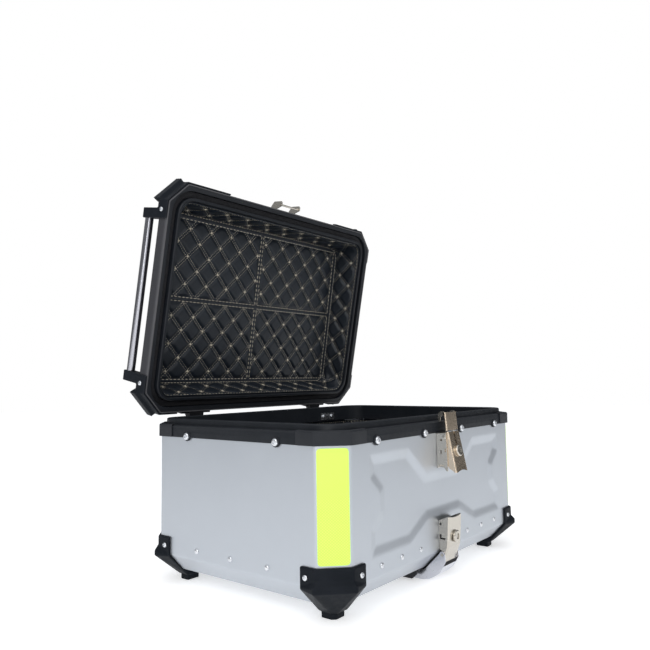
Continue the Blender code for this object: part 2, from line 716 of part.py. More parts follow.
# ---------------------------------------------------------------- bottom release
def make_release():
    back = FRONT_Y - GAP
    lower_lip = (-179.4, 7.0)
    face = [(-191.8, 73.4), (-190.3, 49.0), (-188.8, 31.4), lower_lip]
    skin = [(-177.9, 7.6), (-187.3, 31.7), (-188.8, 49.0), (-190.3, 73.4)]
    cover = side_plate("release_housing", face + skin, -18.5, 18.5)
    flange = [(back, 67.5), (back, 28.5), (-179.0, 26.5), (-187.6, 31.2), (-189.0, 49.0),
              (-190.6, 72.6), (-180.0, 70.0)]
    for x in (-18.5, 17.0):
        union(cover, side_plate("flange", flange, x, x + 1.5))
    union(cover, block("web", (-18.5, back - 1.5, 32.0), (18.5, back, 66.0)))
    subtract(cover, rod("bite", (0.0, -200.0, 126.6), (0.0, -183.0, 126.6), 55.0, 96))
    lock = Vector((0.0, -190.1, RELEASE_LOCK_Z))
    out = Vector((0.0, -1.0, 0.0))
    subtract(cover, rod("hole", lock + out * 5, lock - out * 5, 5.2, 16))
    finish(cover, "stainless", 30)
    barrel = turned("release_lock_barrel", [
        (4.0, -9.0), (4.9, -9.0), (4.9, 0.6), (8.5, 0.6), (8.5, 3.0), (7.4, 4.4), (4.0, 4.4), (4.0, -9.0),
    ], lock, out, segments=20)
    finish(barrel, "stainless", 30)
    make_plug("release_lock_plug", lock, out)

    origin = (0.0, *RELEASE_AXIS)
    outer = [(-180.8, 5.0), (-176.0, -3.0), (-168.0, -10.0), (-158.0, -15.4), (-147.0, -17.6), (-136.0, -17.6)]
    inner = [(-136.0, -16.0), (-146.6, -16.0), (-157.2, -13.9), (-166.8, -8.7), (-174.5, -2.0), (-179.2, 5.6)]
    lever = side_plate("release_lever", outer + inner, -20.3, 20.3, origin)
    cheek = arc(RELEASE_AXIS, 4.4, 190, 10, 8) + [
        (-152.2, -1.8), (-137.0, -7.0), (-134.0, -12.0), (-136.5, -16.8), (-147.0, -16.8),
        (-158.0, -14.6), (-167.6, -9.2), (-175.4, -2.4), (-180.6, 5.2), (-184.6, 12.0),
    ]
    for x in (-20.3, 18.8):
        union(lever, side_plate("cheek", cheek, x, x + 1.5, origin))
    roll = rod("roll", (-20.3, -135.0, -12.6), (20.3, -135.0, -12.6), 5.0, 16, origin)
    union(lever, roll)
    subtract(lever, rod("bore", (-30, *RELEASE_AXIS), (30, *RELEASE_AXIS), 2.1, 12, origin))
    finish(lever, "stainless", 30)
    pin = rod("release_pin", (-21.3, *RELEASE_AXIS), (21.3, *RELEASE_AXIS), 2.0, 12)
    finish(pin, "stainless", 30)

    bracket = block("release_bracket", (-34.0, -148.0, -2.2), (34.0, -100.0, -GAP))
    skid = [(-146.0, -1.0), (-146.0, -8.0), (-138.0, -15.0), (-108.0, -15.0), (-101.0, -8.0), (-101.0, -1.0)]
    for x in (-34.0, 32.0):
        union(bracket, side_plate("skid", skid, x, x + 2.0))
    ear = [(-145.0, -0.4), (-151.6, -0.4), (-175.3, 24.4)] + arc(RELEASE_AXIS, 3.2, 60, 220, 6) + [
        (-176.8, 12.0), (-160.0, -3.4), (-150.0, -7.0), (-145.0, -7.0),
    ]
    for x in (-15.5, 13.5):
        union(bracket, side_plate("ear", ear, x, x + 2.0))
    subtract(bracket, rod("bore", (-30, *RELEASE_AXIS), (30, *RELEASE_AXIS), 2.1, 12))
    finish(bracket, "black_steel", 30)


# ---------------------------------------------------------------- lid, drawn closed
def make_lid_shell():
    inner_crease = LID_CREASE_Z - SHEET * math.tan(math.pi / 8)
    diagonal = SHEET * math.sqrt(2.0)
    top_inner = LID_TOP_Z - SHEET
    return finish(as_object("lid_shell", stack([
        (octagon(RIM_PROUD - LID_SLOPE), LID_TOP_Z),
        (octagon(RIM_PROUD), LID_CREASE_Z),
        (octagon(RIM_PROUD), MATE_Z),
        (octagon(RIM_PROUD - SHEET), MATE_Z),
        (octagon(RIM_PROUD - SHEET), inner_crease),
        (octagon(RIM_PROUD - (top_inner - LID_CREASE_Z) - diagonal), top_inner),
    ], closed=False)), "lid_paint")


def make_lid_inside():
    frame = as_object("lid_frame", stack([
        (ring_outline("oct", -0.4), 210.2),
        (ring_outline("oct", -0.4), 224.0),
        (ring_outline("round", 231.5, 152.0, 23.5), 224.0),
        (ring_outline("round", 231.5, 152.0, 23.5), 209.6),
        (ring_outline("round", 232.8, 153.3, 24.8), 208.4),
        (ring_outline("round", 235.6, 156.1, 27.6), 208.4),
        (ring_outline("round", 236.8, 157.3, 28.8), 209.6),
        (ring_outline("round", 236.8, 157.3, 28.8), 219.0),
        (ring_outline("round", 247.2, 167.5, 37.0), 219.0),
        (ring_outline("round", 247.2, 167.5, 37.0), 210.2),
    ], closed=True))
    finish(frame, "black_plastic", 35)
    gasket = as_object("lid_gasket", stack([
        (ring_outline("round", 246.8, 167.1, 36.6), 218.7),
        (ring_outline("round", 246.8, 167.1, 36.6), 216.6),
        (ring_outline("round", 242.0, 162.4, 33.2), 215.4),
        (ring_outline("round", 237.2, 157.7, 29.2), 216.6),
        (ring_outline("round", 237.2, 157.7, 29.2), 218.7),
    ], closed=True))
    finish(gasket, "rubber", 35)
    liner = as_object("lid_liner", stack([
        (rounded(214.0, 135.0, 20.0, LIP_STEPS), 266.8),
        (rounded(220.5, 141.5, 24.0, LIP_STEPS), 258.0),
        (rounded(240.0, 160.5, 30.0, LIP_STEPS), 224.6),
        (rounded(231.0, 151.5, 23.0, LIP_STEPS), 224.6),
        (rounded(213.0, 134.0, 18.0, LIP_STEPS), 256.5),
        (rounded(211.0, 132.0, 16.0, LIP_STEPS), 258.0),
    ], closed=False))
    finish(liner, "liner", 35)
    return [frame, gasket, liner]


def make_lid_corner(name, lip_end):
    """Front left corner cap of the closed lid, with its bumper and the rail's arm."""
    out = RIM_PROUD + GAP
    proud = 2.8
    slope_gap = 0.45
    reach = 16.0
    crease = LID_CREASE_Z + RIM_PROUD
    cap = corner_band(name, [
        (out, MATE_Z + GAP), (out + proud, MATE_Z + GAP),
        (out + proud, crease - out - proud + 4.4),
        (-reach, crease + reach + 4.4), (-reach, crease + reach + slope_gap),
        (out, crease - out + slope_gap),
    ], side_end=ARM_INNER_Y, front_end=LID_CORNER_END)
    lip = corner_band("lip", [
        (out, MATE_Z + GAP), (out + proud, MATE_Z + GAP), (out + proud, 216.5), (out, 218.0),
    ], side_end=ARM_INNER_Y + 1.0, front_end=lip_end)
    bumper = hull("bumper", [
        chamfer_point(out + 1.0, along, z) for along in (-22.0, 22.0) for z in (219.0, 234.0)
    ] + [
        chamfer_point(9.5, along, z) for along in (-26.5, 26.5) for z in (225.0, 238.0)
    ] + [
        chamfer_point(-12.0, along, 246.0) for along in (-15.0, 15.0)
    ] + [
        chamfer_point(-9.0, along, 251.0) for along in (-14.0, 14.0)
    ])
    wall = -WIDTH / 2 - RIM_PROUD
    arm = front_plate("arm", [
        (wall - 3.0, 212.0), (wall - 3.0, 266.5), (wall - 0.5, 269.2), (-245.0, 269.2),
        (-241.5, 266.0), (-241.5, 244.45), (wall - GAP, 230.45), (wall - GAP, 212.0),
    ], -ARM_OUTER_Y, -ARM_INNER_Y)
    union(cap, lip, bumper, arm)
    lid_solid = as_object("lid_solid", stack([
        (octagon(RIM_PROUD + GAP), MATE_Z - 10),
        (octagon(RIM_PROUD + GAP), LID_CREASE_Z + 0.12),
        (octagon(RIM_PROUD - LID_SLOPE - 5), LID_TOP_Z + 5 + 0.42),
    ], closed=False))
    socket_end = ARM_INNER_Y + RAIL_SOCKET + 0.4
    socket = rod("socket", (-RAIL_X, -ARM_INNER_Y + 5, RAIL_Z), (-RAIL_X, -socket_end, RAIL_Z), RAIL_RADIUS + GAP)
    subtract(cap, lid_solid, socket)
    return finish(cap, "black_plastic")


def make_lid_corners():
    front = make_lid_corner("lid_corner_front_left", LIP_END)
    rear = make_lid_corner("rear", LID_CORNER_END)
    corners = [
        front,
        mirrored(front, "lid_corner_front_right", flip_x=True),
        mirrored(rear, "lid_corner_rear_right", flip_x=True, flip_y=True),
        mirrored(rear, "lid_corner_rear_left", flip_y=True),
    ]
    bpy.data.objects.remove(rear, do_unlink=True)
    return corners


def make_rails():
    rails = []
    for side, label in ((-1, "left"), (1, "right")):
        end = ARM_INNER_Y + RAIL_SOCKET
        rail = rod(f"rail_{label}", (side * RAIL_X, -end, RAIL_Z), (side * RAIL_X, end, RAIL_Z), RAIL_RADIUS, 16)
        rails.append(finish(rail, "stainless", 30))
    return rails


STRIKER_PIN = (-184.6, 208.0)


def make_striker():
    face = -RIM_HY - GAP
    bracket = block("striker_bracket", (-24.0, face - 1.5, 222.2), (24.0, face, 229.6))
    ear = [(face, 229.6), (-181.0, 229.6), (-190.0, 223.0), (-191.0, 206.0), (-188.5, 203.6),
           (-182.6, 203.6), (-178.2, 213.0), (face, 217.5)]
    for x in (-24.0, 22.5):
        union(bracket, side_plate("ear", ear, x, x + 1.5))
    subtract(bracket, rod("bore", (-30, *STRIKER_PIN), (30, *STRIKER_PIN), 1.85, 12))
    finish(bracket, "stainless", 30)
    pin = rod("striker_pin", (-25.0, *STRIKER_PIN), (25.0, *STRIKER_PIN), 1.75, 12)
    finish(pin, "stainless", 30)
    return [bracket, pin]


def open_lid(parts):
    """Hang the lid's parts on an empty at the hinge line and turn it to the open pose."""
    pivot = bpy.data.objects.new("lid_axis", None)
    pivot.location = (0.0, HINGE_Y * MM, HINGE_Z * MM)
    bpy.context.scene.collection.objects.link(pivot)
    bpy.context.view_layer.update()
    for item in parts:
        item.parent = pivot
        item.matrix_parent_inverse = pivot.matrix_world.inverted()
    pivot.rotation_euler = (-math.radians(LID_OPEN_DEG), 0.0, 0.0)
    bpy.context.view_layer.update()


def main():
    make_body_shell()
    make_floor_pan()
    make_body_liner()
    make_rim_frame()
    make_rim_screws()
    make_rim_caps()
    make_corner_guards()
    make_reflectors()
    make_latch_base()
    make_latch_lever()
    make_latch_hook()
    make_release()
    lid_parts = [make_lid_shell()]
    lid_parts += make_lid_inside()
    lid_parts += make_lid_corners()
    lid_parts += make_rails()
    lid_parts += make_striker()
    for side, label in ((-1, "left"), (1, "right")):
        make_hinge(side, label, lid_parts)
    open_lid(lid_parts)


clear_scene()
MATERIALS = {name: make_material(name) for name in COLOURS}
main()
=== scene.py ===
"""Looks of the motorcycle top case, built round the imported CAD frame.

Lengths are in metres in the CAD frame. Lid pieces are drawn with the lid shut and then turned
about the hinge line by the same angle as the lid's rest pose.
"""

import json
import math

import bmesh
import bpy
import numpy as np
from mathutils import Matrix, Vector


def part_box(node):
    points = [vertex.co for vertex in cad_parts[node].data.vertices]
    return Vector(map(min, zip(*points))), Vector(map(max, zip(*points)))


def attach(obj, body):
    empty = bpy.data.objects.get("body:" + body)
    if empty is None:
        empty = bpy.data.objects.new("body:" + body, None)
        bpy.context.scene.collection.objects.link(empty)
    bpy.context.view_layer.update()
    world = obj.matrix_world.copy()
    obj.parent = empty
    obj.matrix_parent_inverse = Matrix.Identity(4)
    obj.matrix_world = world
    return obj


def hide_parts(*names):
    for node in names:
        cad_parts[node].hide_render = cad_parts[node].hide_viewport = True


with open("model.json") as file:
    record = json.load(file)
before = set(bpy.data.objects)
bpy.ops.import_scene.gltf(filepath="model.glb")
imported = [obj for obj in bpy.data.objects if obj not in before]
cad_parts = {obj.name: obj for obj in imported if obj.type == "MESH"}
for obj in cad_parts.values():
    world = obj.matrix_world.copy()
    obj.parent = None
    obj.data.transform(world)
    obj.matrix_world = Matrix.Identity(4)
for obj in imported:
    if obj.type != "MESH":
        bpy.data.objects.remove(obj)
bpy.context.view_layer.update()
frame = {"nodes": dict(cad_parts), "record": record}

MM = 0.001
HALF_W = 254.0
HALF_D = 174.5
CHAMFER = 31.0
MITRE = 2.0 - math.sqrt(2.0)
RIM_PROUD = 1.5
HINGE = (0.0, 187.8, 208.2)
LID_OPEN = math.radians(79.2)
FLOOR_Z = -18.0
CORNERS = tuple(f"{a}_{b}" for a in ("front", "rear") for b in ("left", "right"))


# ---------------------------------------------------------------- node materials
class Nodes:
    """A node tree with small helpers."""

    def __init__(self, tree):
        self.tree = tree

    def node(self, kind, **settings):
        """Add a node; each setting is the value of an input or of an attribute."""
        made = self.tree.nodes.new(kind)
        for key, value in settings.items():
            if key in made.inputs:
                made.inputs[key].default_value = value
            else:
                setattr(made, key, value)
        return made

    def link(self, output, target):
        self.tree.links.new(output, target)

    def spread(self, value, low, high, in_low=0.3, in_high=0.7):
        """Map a value to a range."""
        made = self.node("ShaderNodeMapRange", **{
            "From Min": in_low, "From Max": in_high, "To Min": low, "To Max": high,
        })
        self.link(value, made.inputs["Value"])
        return made.outputs["Result"]


class Shader(Nodes):
    """A Principled material; extra sockets are given by name, with _ for a space."""

    def __init__(self, name, colour, roughness, metallic=0.0, **sockets):
        self.material = bpy.data.materials.new(name)
        self.material.use_nodes = True
        super().__init__(self.material.node_tree)
        self.bsdf = self.tree.nodes["Principled BSDF"]
        self.bsdf.inputs["Base Color"].default_value = (*colour, 1.0)
        self.bsdf.inputs["Roughness"].default_value = roughness
        self.bsdf.inputs["Metallic"].default_value = metallic
        for key, value in sockets.items():
            self.bsdf.inputs[key.replace("_", " ")].default_value = value
        self.bump_out = None

    def coords(self, stretch=(1.0, 1.0, 1.0)):
        """Object coordinates in metres, stretched."""
        mapping = self.node("ShaderNodeMapping", Scale=stretch)
        self.link(self.node("ShaderNodeTexCoord").outputs["Object"], mapping.inputs["Vector"])
        return mapping.outputs["Vector"]

    def noise(self, scale, detail=3.0, roughness=0.55, stretch=(1.0, 1.0, 1.0)):
        made = self.node("ShaderNodeTexNoise", Scale=scale, Detail=detail, Roughness=roughness)
        self.link(self.coords(stretch), made.inputs["Vector"])
        return made.outputs["Fac"]

    def voronoi(self, scale):
        made = self.node("ShaderNodeTexVoronoi", Scale=scale)
        self.link(self.coords(), made.inputs["Vector"])
        return made.outputs["Distance"]

    def mix_colour(self, value, first, second, in_low=0.3, in_high=0.7):
        ramp = self.node("ShaderNodeValToRGB")
        stops = zip(ramp.color_ramp.elements, (in_low, in_high), (first, second))
        for stop, position, colour in stops:
            stop.position = position
            stop.color = (*colour, 1.0)
        self.link(value, ramp.inputs["Fac"])
        return ramp.outputs["Color"]

    def bump(self, height, distance, strength=1.0):
        """Add a bump layer on top of those already there."""
        made = self.node("ShaderNodeBump", Distance=distance, Strength=strength)
        self.link(height, made.inputs["Height"])
        if self.bump_out is not None:
            self.link(self.bump_out, made.inputs["Normal"])
        self.bump_out = made.outputs["Normal"]
        self.link(self.bump_out, self.bsdf.inputs["Normal"])

    def colour(self, output):
        self.link(output, self.bsdf.inputs["Base Color"])

    def rough(self, output):
        self.link(output, self.bsdf.inputs["Roughness"])

    def worn_edges(self, colour, amount):
        """Lighten convex edges a little, by the mesh's own pointiness."""
        pointiness = self.node("ShaderNodeNewGeometry").outputs["Pointiness"]
        mix = self.node("ShaderNodeMix", data_type="RGBA")
        base = self.bsdf.inputs["Base Color"]
        self.link(self.spread(pointiness, 0.0, amount, 0.52, 0.62), mix.inputs["Factor"])
        self.link(base.links[0].from_socket, mix.inputs[6])
        mix.inputs[7].default_value = (*colour, 1.0)
        self.link(mix.outputs[2], base)


def satin_aluminium():
    s = Shader("satin_aluminium", (0.60, 0.63, 0.68), 0.42, 0.9)
    grain = s.noise(1400.0, 2.0)
    cloud = s.noise(9.0, 4.0)
    s.colour(s.mix_colour(cloud, (0.455, 0.482, 0.52), (0.49, 0.519, 0.557)))
    s.rough(s.spread(cloud, 0.38, 0.46))
    s.bump(grain, 0.00003, 0.35)
    return s.material


def moulded_black(name, colour=(0.006, 0.008, 0.011), light=(0.010, 0.012, 0.016), shine=0.24):
    s = Shader(name, colour, 0.5, Specular_IOR_Level=shine)
    s.colour(s.mix_colour(s.noise(35.0, 4.0), colour, light))
    s.rough(s.spread(s.noise(160.0, 3.0), 0.42, 0.56))
    s.bump(s.voronoi(1100.0), 0.00007, 0.6)
    s.worn_edges((0.05, 0.05, 0.055), 0.5)
    return s.material


def lid_paint():
    s = Shader("lid_paint", (0.035, 0.035, 0.040), 0.44, Specular_IOR_Level=0.3)
    fleck = s.noise(700.0, 2.0)
    s.colour(s.mix_colour(fleck, (0.024, 0.024, 0.028), (0.040, 0.040, 0.045)))
    s.bump(s.noise(900.0, 3.0), 0.00008, 0.5)
    s.worn_edges((0.25, 0.25, 0.26), 0.35)
    return s.material


def steel(name, colour, low, high, stretch):
    """Brushed steel; stretch squeezes the streaks along an axis, low and high bound roughness."""
    s = Shader(name, colour, low, 1.0)
    streak = s.noise(60.0, 5.0, 0.65, stretch)
    s.colour(s.mix_colour(streak, colour, [min(1.0, c * 1.05) for c in colour]))
    s.rough(s.spread(streak, low, high))
    s.bump(streak, 0.00002, 0.25)
    return s.material


def zinc_plate():
    s = Shader("zinc_plate", (0.62, 0.63, 0.66), 0.28, 1.0)
    spangle = s.voronoi(260.0)
    s.colour(s.mix_colour(spangle, (0.55, 0.57, 0.60), (0.72, 0.73, 0.75), 0.1, 0.9))
    s.rough(s.spread(s.noise(300.0), 0.2, 0.36))
    return s.material


def quilt_leather():
    s = Shader("quilt_leather", (0.007, 0.009, 0.012), 0.4, Specular_IOR_Level=0.3)
    cloud = s.noise(60.0, 4.0)
    s.colour(s.mix_colour(cloud, (0.006, 0.009, 0.014), (0.010, 0.014, 0.020)))
    s.rough(s.spread(s.noise(240.0, 3.0), 0.32, 0.44))
    s.bump(s.voronoi(900.0), 0.00012, 0.5)
    s.bump(s.noise(2200.0, 2.0), 0.00004, 0.4)
    return s.material


def stitch_thread():
    s = Shader("stitch_thread", (0.6, 0.53, 0.40), 0.7)
    twist = s.noise(2600.0, 1.0)
    s.colour(s.mix_colour(twist, (0.44, 0.39, 0.30), (0.78, 0.71, 0.57)))
    s.bump(twist, 0.0001, 0.6)
    return s.material


def foam_rubber():
    s = Shader("foam_rubber", (0.007, 0.007, 0.009), 0.6, Specular_IOR_Level=0.35)
    s.rough(s.spread(s.noise(500.0), 0.6, 0.8))
    s.bump(s.noise(1800.0, 3.0), 0.00008, 0.5)
    return s.material


def reflective_film():
    """Prismatic film: a fine diamond lattice with thin lines between the cells."""
    # The weak emission is a painted glow: the film shines a little with no lamp on it.
    s = Shader(
        "reflective_film", (0.72, 1.0, 0.10), 0.35, Coat_Weight=0.5, Coat_Roughness=0.12,
        Emission_Color=(0.55, 1.0, 0.08, 1.0), Emission_Strength=0.06)
    half_cell = 0.0013
    cells = s.node("ShaderNodeMath", operation="MINIMUM")
    for k, rise in enumerate((0.8, -0.8)):
        along = s.node("ShaderNodeVectorMath", operation="DOT_PRODUCT")
        s.link(s.coords(), along.inputs[0])
        along.inputs[1].default_value = (1.0, 0.0, rise)
        wave = s.node("ShaderNodeMath", operation="PINGPONG")
        s.link(along.outputs["Value"], wave.inputs[0])
        wave.inputs[1].default_value = half_cell
        s.link(wave.outputs["Value"], cells.inputs[k])
    height = s.spread(cells.outputs["Value"], 0.0, 1.0, 0.0, 0.0005)
    s.colour(s.mix_colour(height, (0.44, 0.82, 0.05), (0.64, 1.0, 0.10), 0.1, 0.7))
    s.bump(height, 0.0002, 0.3)
    return s.material


def floor_paint():
    s = Shader(
        "floor_paint", (0.87, 0.87, 0.87), 0.65,
        Emission_Color=(1.0, 1.0, 1.0, 1.0), Emission_Strength=0.47)
    s.rough(s.spread(s.noise(20.0), 0.6, 0.7))
    return s.material


MATERIALS = {
    "aluminium": satin_aluminium(),
    "lid_paint": lid_paint(),
    "black_plastic": moulded_black("moulded_black"),
    "rubber": foam_rubber(),
    "liner": quilt_leather(),
    "guard_black": moulded_black("guard_black", shine=0.07),
    # The slight warm tint of this steel is a painted reflection of a warm surrounding.
    "stainless": steel("bright_stainless_painted_warm_tint", (0.50, 0.47, 0.42), 0.22, 0.28, (2.0, 2.0, 16.0)),
    # The warm brown tint of this steel is a painted reflection of a warm surrounding, not the
    # steel's own colour.
    "stainless_painted_warm_reflection": steel("stainless_painted_warm_reflection", (0.70, 0.58, 0.45), 0.22, 0.28, (2.0, 2.0, 16.0)),
    "zinc": zinc_plate(),
    "black_steel": moulded_black("black_steel", (0.008, 0.008, 0.010), (0.014, 0.014, 0.017)),
    "reflector": reflective_film(),
    "thread": stitch_thread(),
    "polished": steel("polished_tube", (0.37, 0.37, 0.40), 0.14, 0.2, (3.0, 60.0, 3.0)),
    "cool_stainless": steel("cool_stainless", (0.58, 0.59, 0.64), 0.2, 0.3, (60.0, 3.0, 3.0)),
}
RECORD = frame["record"]
NODE_SLOT = {entry["node"]: entry["material_slot"] for entry in RECORD["subparts"]}
BODY_OF = {
    node: body for body, nodes in RECORD["behaviour"]["bodies"].items() for node in nodes
}


# ---------------------------------------------------------------- piece helpers
def add_object(name, data):
    item = bpy.data.objects.new(name, data)
    bpy.context.scene.collection.objects.link(item)
    return item


def add_mesh(name, bm):
    """A new mesh object from a bmesh, which is freed."""
    mesh = bpy.data.meshes.new(name)
    bm.to_mesh(mesh)
    bm.free()
    return add_object(name, mesh)


def new_piece(name, bm, body, slot, *replaced, material=None, smooth=40):
    """Make an object from a bmesh in metres, give it looks and tie it to a body."""
    bmesh.ops.recalc_face_normals(bm, faces=bm.faces)
    item = add_mesh(name, bm)
    item.data.materials.append(MATERIALS[material or slot])
    item.data.shade_smooth()
    if smooth < 180:
        item.data.set_sharp_from_angle(angle=math.radians(smooth))
    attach(item, body)
    if replaced:
        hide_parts(*replaced)
    return item


def node_bmesh(name):
    """The mesh of a CAD node at rest, welded and with its flat faces whole again."""
    source = frame["nodes"][name]
    bm = bmesh.new()
    bm.from_mesh(source.data)
    bm.transform(source.matrix_world)
    bmesh.ops.remove_doubles(bm, verts=bm.verts, dist=2e-6)
    flat = math.radians(0.8)
    bmesh.ops.dissolve_limit(bm, angle_limit=flat, verts=bm.verts, edges=bm.edges)
    return bm


def apply_modifiers(item):
    """Put the result of the piece's modifiers in place of its mesh."""
    bpy.context.view_layer.update()
    evaluated = item.evaluated_get(bpy.context.evaluated_depsgraph_get())
    mesh = bpy.data.meshes.new_from_object(evaluated)
    item.modifiers.clear()
    item.data = mesh


def softened(node, body, width, material=None):
    """A copy of a CAD node with rounded edges, standing for the node."""
    slot = NODE_SLOT[node]
    item = new_piece(f"{node}.soft", node_bmesh(node), body, slot, node, material=material)
    bevel = item.modifiers.new("round", "BEVEL")
    bevel.width = width * MM
    bevel.segments = 2
    bevel.limit_method = "ANGLE"
    bevel.angle_limit = math.radians(25)
    bevel.harden_normals = True
    bevel.use_clamp_overlap = True
    apply_modifiers(item)
    return item


def moulded(node, body):
    """A copy of a CAD node with every edge rounded, as a moulding has, standing for the node."""
    bm = node_bmesh(node)
    name = f"{node}.soft"
    item = new_piece(name, bm, body, NODE_SLOT[node], node, material="guard_black", smooth=180)
    remesh = item.modifiers.new("skin", "REMESH")
    remesh.mode = "VOXEL"
    remesh.voxel_size = 0.9 * MM
    remesh.use_smooth_shade = True
    smooth = item.modifiers.new("round", "SMOOTH")
    smooth.factor = 0.5
    smooth.iterations = 5
    apply_modifiers(item)


SOFTEN = {
    "rim_frame": 0.9, "lid_frame": 0.6, "release_bracket": 0.6, "striker_bracket": 0.4,
    "lever_lock_barrel": 0.5, "release_lock_barrel": 0.5,
    "lever_lock_plug": 0.25, "release_lock_plug": 0.25,
}
for hand in ("left", "right"):
    SOFTEN[f"hinge_base_{hand}"] = 0.8
    SOFTEN[f"hinge_leaf_{hand}"] = 0.8
    SOFTEN[f"hinge_backing_{hand}"] = 0.4
for corner in CORNERS:
    SOFTEN[f"rim_cap_{corner}"] = 0.6

for node_name, node in frame["nodes"].items():
    node.data.materials.clear()
    node.data.materials.append(MATERIALS[NODE_SLOT[node_name]])
for node_name, radius in SOFTEN.items():
    softened(node_name, BODY_OF[node_name], radius)
for kind in ("corner_guard", "lid_corner"):
    for corner in CORNERS:
        moulded(f"{kind}_{corner}", BODY_OF[f"{kind}_{corner}"])


# ---------------------------------------------------------------- grids
def piece_from_arrays(name, points, faces, body, slot, *replaced, material=None, smooth=180):
    """Make a piece from points in millimetres and faces of any size."""
    mesh = bpy.data.meshes.new(name)
    mesh.from_pydata((np.asarray(points) * MM).tolist(), [], faces)
    mesh.validate()
    bm = bmesh.new()
    bm.from_mesh(mesh)
    bpy.data.meshes.remove(mesh)
    return new_piece(name, bm, body, slot, *replaced, material=material, smooth=smooth)


def lid_pose(points):
    """Turn points of the shut lid to the open rest pose."""
    c = math.cos(LID_OPEN)
    s = math.sin(LID_OPEN)
    points = np.asarray(points, dtype=float)
    dy = points[:, 1] - HINGE[1]
    dz = points[:, 2] - HINGE[2]
    return np.column_stack((points[:, 0], HINGE[1] + dy * c + dz * s, HINGE[2] - dy * s + dz * c))


def octagon(offset):
    hx = HALF_W + offset
    hy = HALF_D + offset
    leg = CHAMFER + MITRE * offset
    return [
        (hx, -hy + leg), (hx, hy - leg), (hx - leg, hy), (-hx + leg, hy),
        (-hx, hy - leg), (-hx, -hy + leg), (-hx + leg, -hy), (hx - leg, -hy),
    ]


def rectangle(hx, hy):
    return [(hx, -hy), (hx, hy), (-hx, hy), (-hx, -hy)]


def loop(corners, radius, splits, arc_steps):
    """Points round a polygon with rounded corners.

    The straight after corner i is cut in splits[i] pieces.
    """
    corners = [Vector(corner) for corner in corners]
    count = len(corners)
    arcs = []
    for i, here in enumerate(corners):
        before = (corners[i - 1] - here).normalized()
        after = (corners[(i + 1) % count] - here).normalized()
        half = before.angle(after) / 2
        centre = here + (before + after).normalized() * (radius / math.sin(half))
        start = here + before * (radius / math.tan(half)) - centre
        turn = math.pi - 2 * half
        arcs.append([
            centre + Matrix.Rotation(turn * k / arc_steps, 2) @ start
            for k in range(arc_steps + 1)
        ])
    points = []
    for i, arc in enumerate(arcs):
        points += arc
        end = arcs[(i + 1) % count][0]
        for k in range(1, splits[i]):
            points.append(arc[-1].lerp(end, k / splits[i]))
    return np.array([tuple(point) for point in points])


def ring_faces(count, rows, closed_rows=False):
    faces = []
    for j in range(rows if closed_rows else rows - 1):
        low = j * count
        high = ((j + 1) % rows) * count
        for i in range(count):
            k = (i + 1) % count
            faces.append((low + i, low + k, high + k, high + i))
    return faces


def with_z(ring, z):
    return np.column_stack((ring, np.broadcast_to(z, len(ring))))


def closed_sheet(front, back, faces):
    """Join a front and a back sheet of the same layout round all their open edges."""
    count = len(front)
    open_edges = {}
    for face in faces:
        for a, b in zip(face, face[1:] + face[:1]):
            if (b, a) in open_edges:
                del open_edges[(b, a)]
            else:
                open_edges[(a, b)] = True
    result = list(faces)
    result += [tuple(count + i for i in reversed(face)) for face in faces]
    result += [(b, a, count + a, count + b) for a, b in open_edges]
    return np.vstack((front, back)), result


BEND_STEPS = 6


def rounded_path(points, radius, step):
    """A polyline in a section plane with rounded bends, cut into short pieces."""
    result = [Vector(points[0])]
    for before, here, after in zip(points, points[1:], points[2:]):
        here = Vector(here)
        into = (Vector(before) - here).normalized()
        out = (Vector(after) - here).normalized()
        reach = radius / math.tan(into.angle(out) / 2)
        a = here + into * reach
        b = here + out * reach
        for k in range(BEND_STEPS + 1):
            t = k / BEND_STEPS
            result.append(a * (1 - t) ** 2 + here * 2 * t * (1 - t) + b * t * t)
    result.append(Vector(points[-1]))
    cut = [result[0]]
    for before, after in zip(result, result[1:]):
        pieces = max(1, round((after - before).length / step))
        cut += [before.lerp(after, k / pieces) for k in range(1, pieces + 1)]
    return [tuple(point) for point in cut]


# ---------------------------------------------------------------- folded sheet
RELIEF_HALF = [
    (47.0, 135.5), (94.0, 174.0), (184.0, 174.0), (184.0, 147.0), (162.0, 125.5),
    (162.0, 103.5), (184.0, 84.0), (184.0, 51.5), (93.0, 51.5), (45.0, 75.0),
]
RELIEF_DEPTH = 2.5
RELIEF_BEVEL = 11.0
SHEET = 1.6
FOLD_RADIUS = 7.0
LID_TOP = 270.0


def inside_distance(x, z, outline):
    """Distance from each point to a polygon's edge, positive inside it."""
    nearest = np.full(x.shape, 1e9)
    inside = np.zeros(x.shape, dtype=bool)
    for (ax, az), (bx, bz) in zip(outline, outline[1:] + outline[:1]):
        length = (bx - ax) ** 2 + (bz - az) ** 2
        t = np.clip(((x - ax) * (bx - ax) + (z - az) * (bz - az)) / length, 0.0, 1.0)
        nearest = np.minimum(nearest, np.hypot(x - ax - t * (bx - ax), z - az - t * (bz - az)))
        if az != bz:
            crosses = ((az > z) != (bz > z)) & (x < (bx - ax) * (z - az) / (bz - az) + ax)
            inside ^= crosses
    return np.where(inside, nearest, -nearest)


def smooth_step(t):
    t = np.clip(t, 0.0, 1.0)
    return t * t * (3.0 - 2.0 * t)


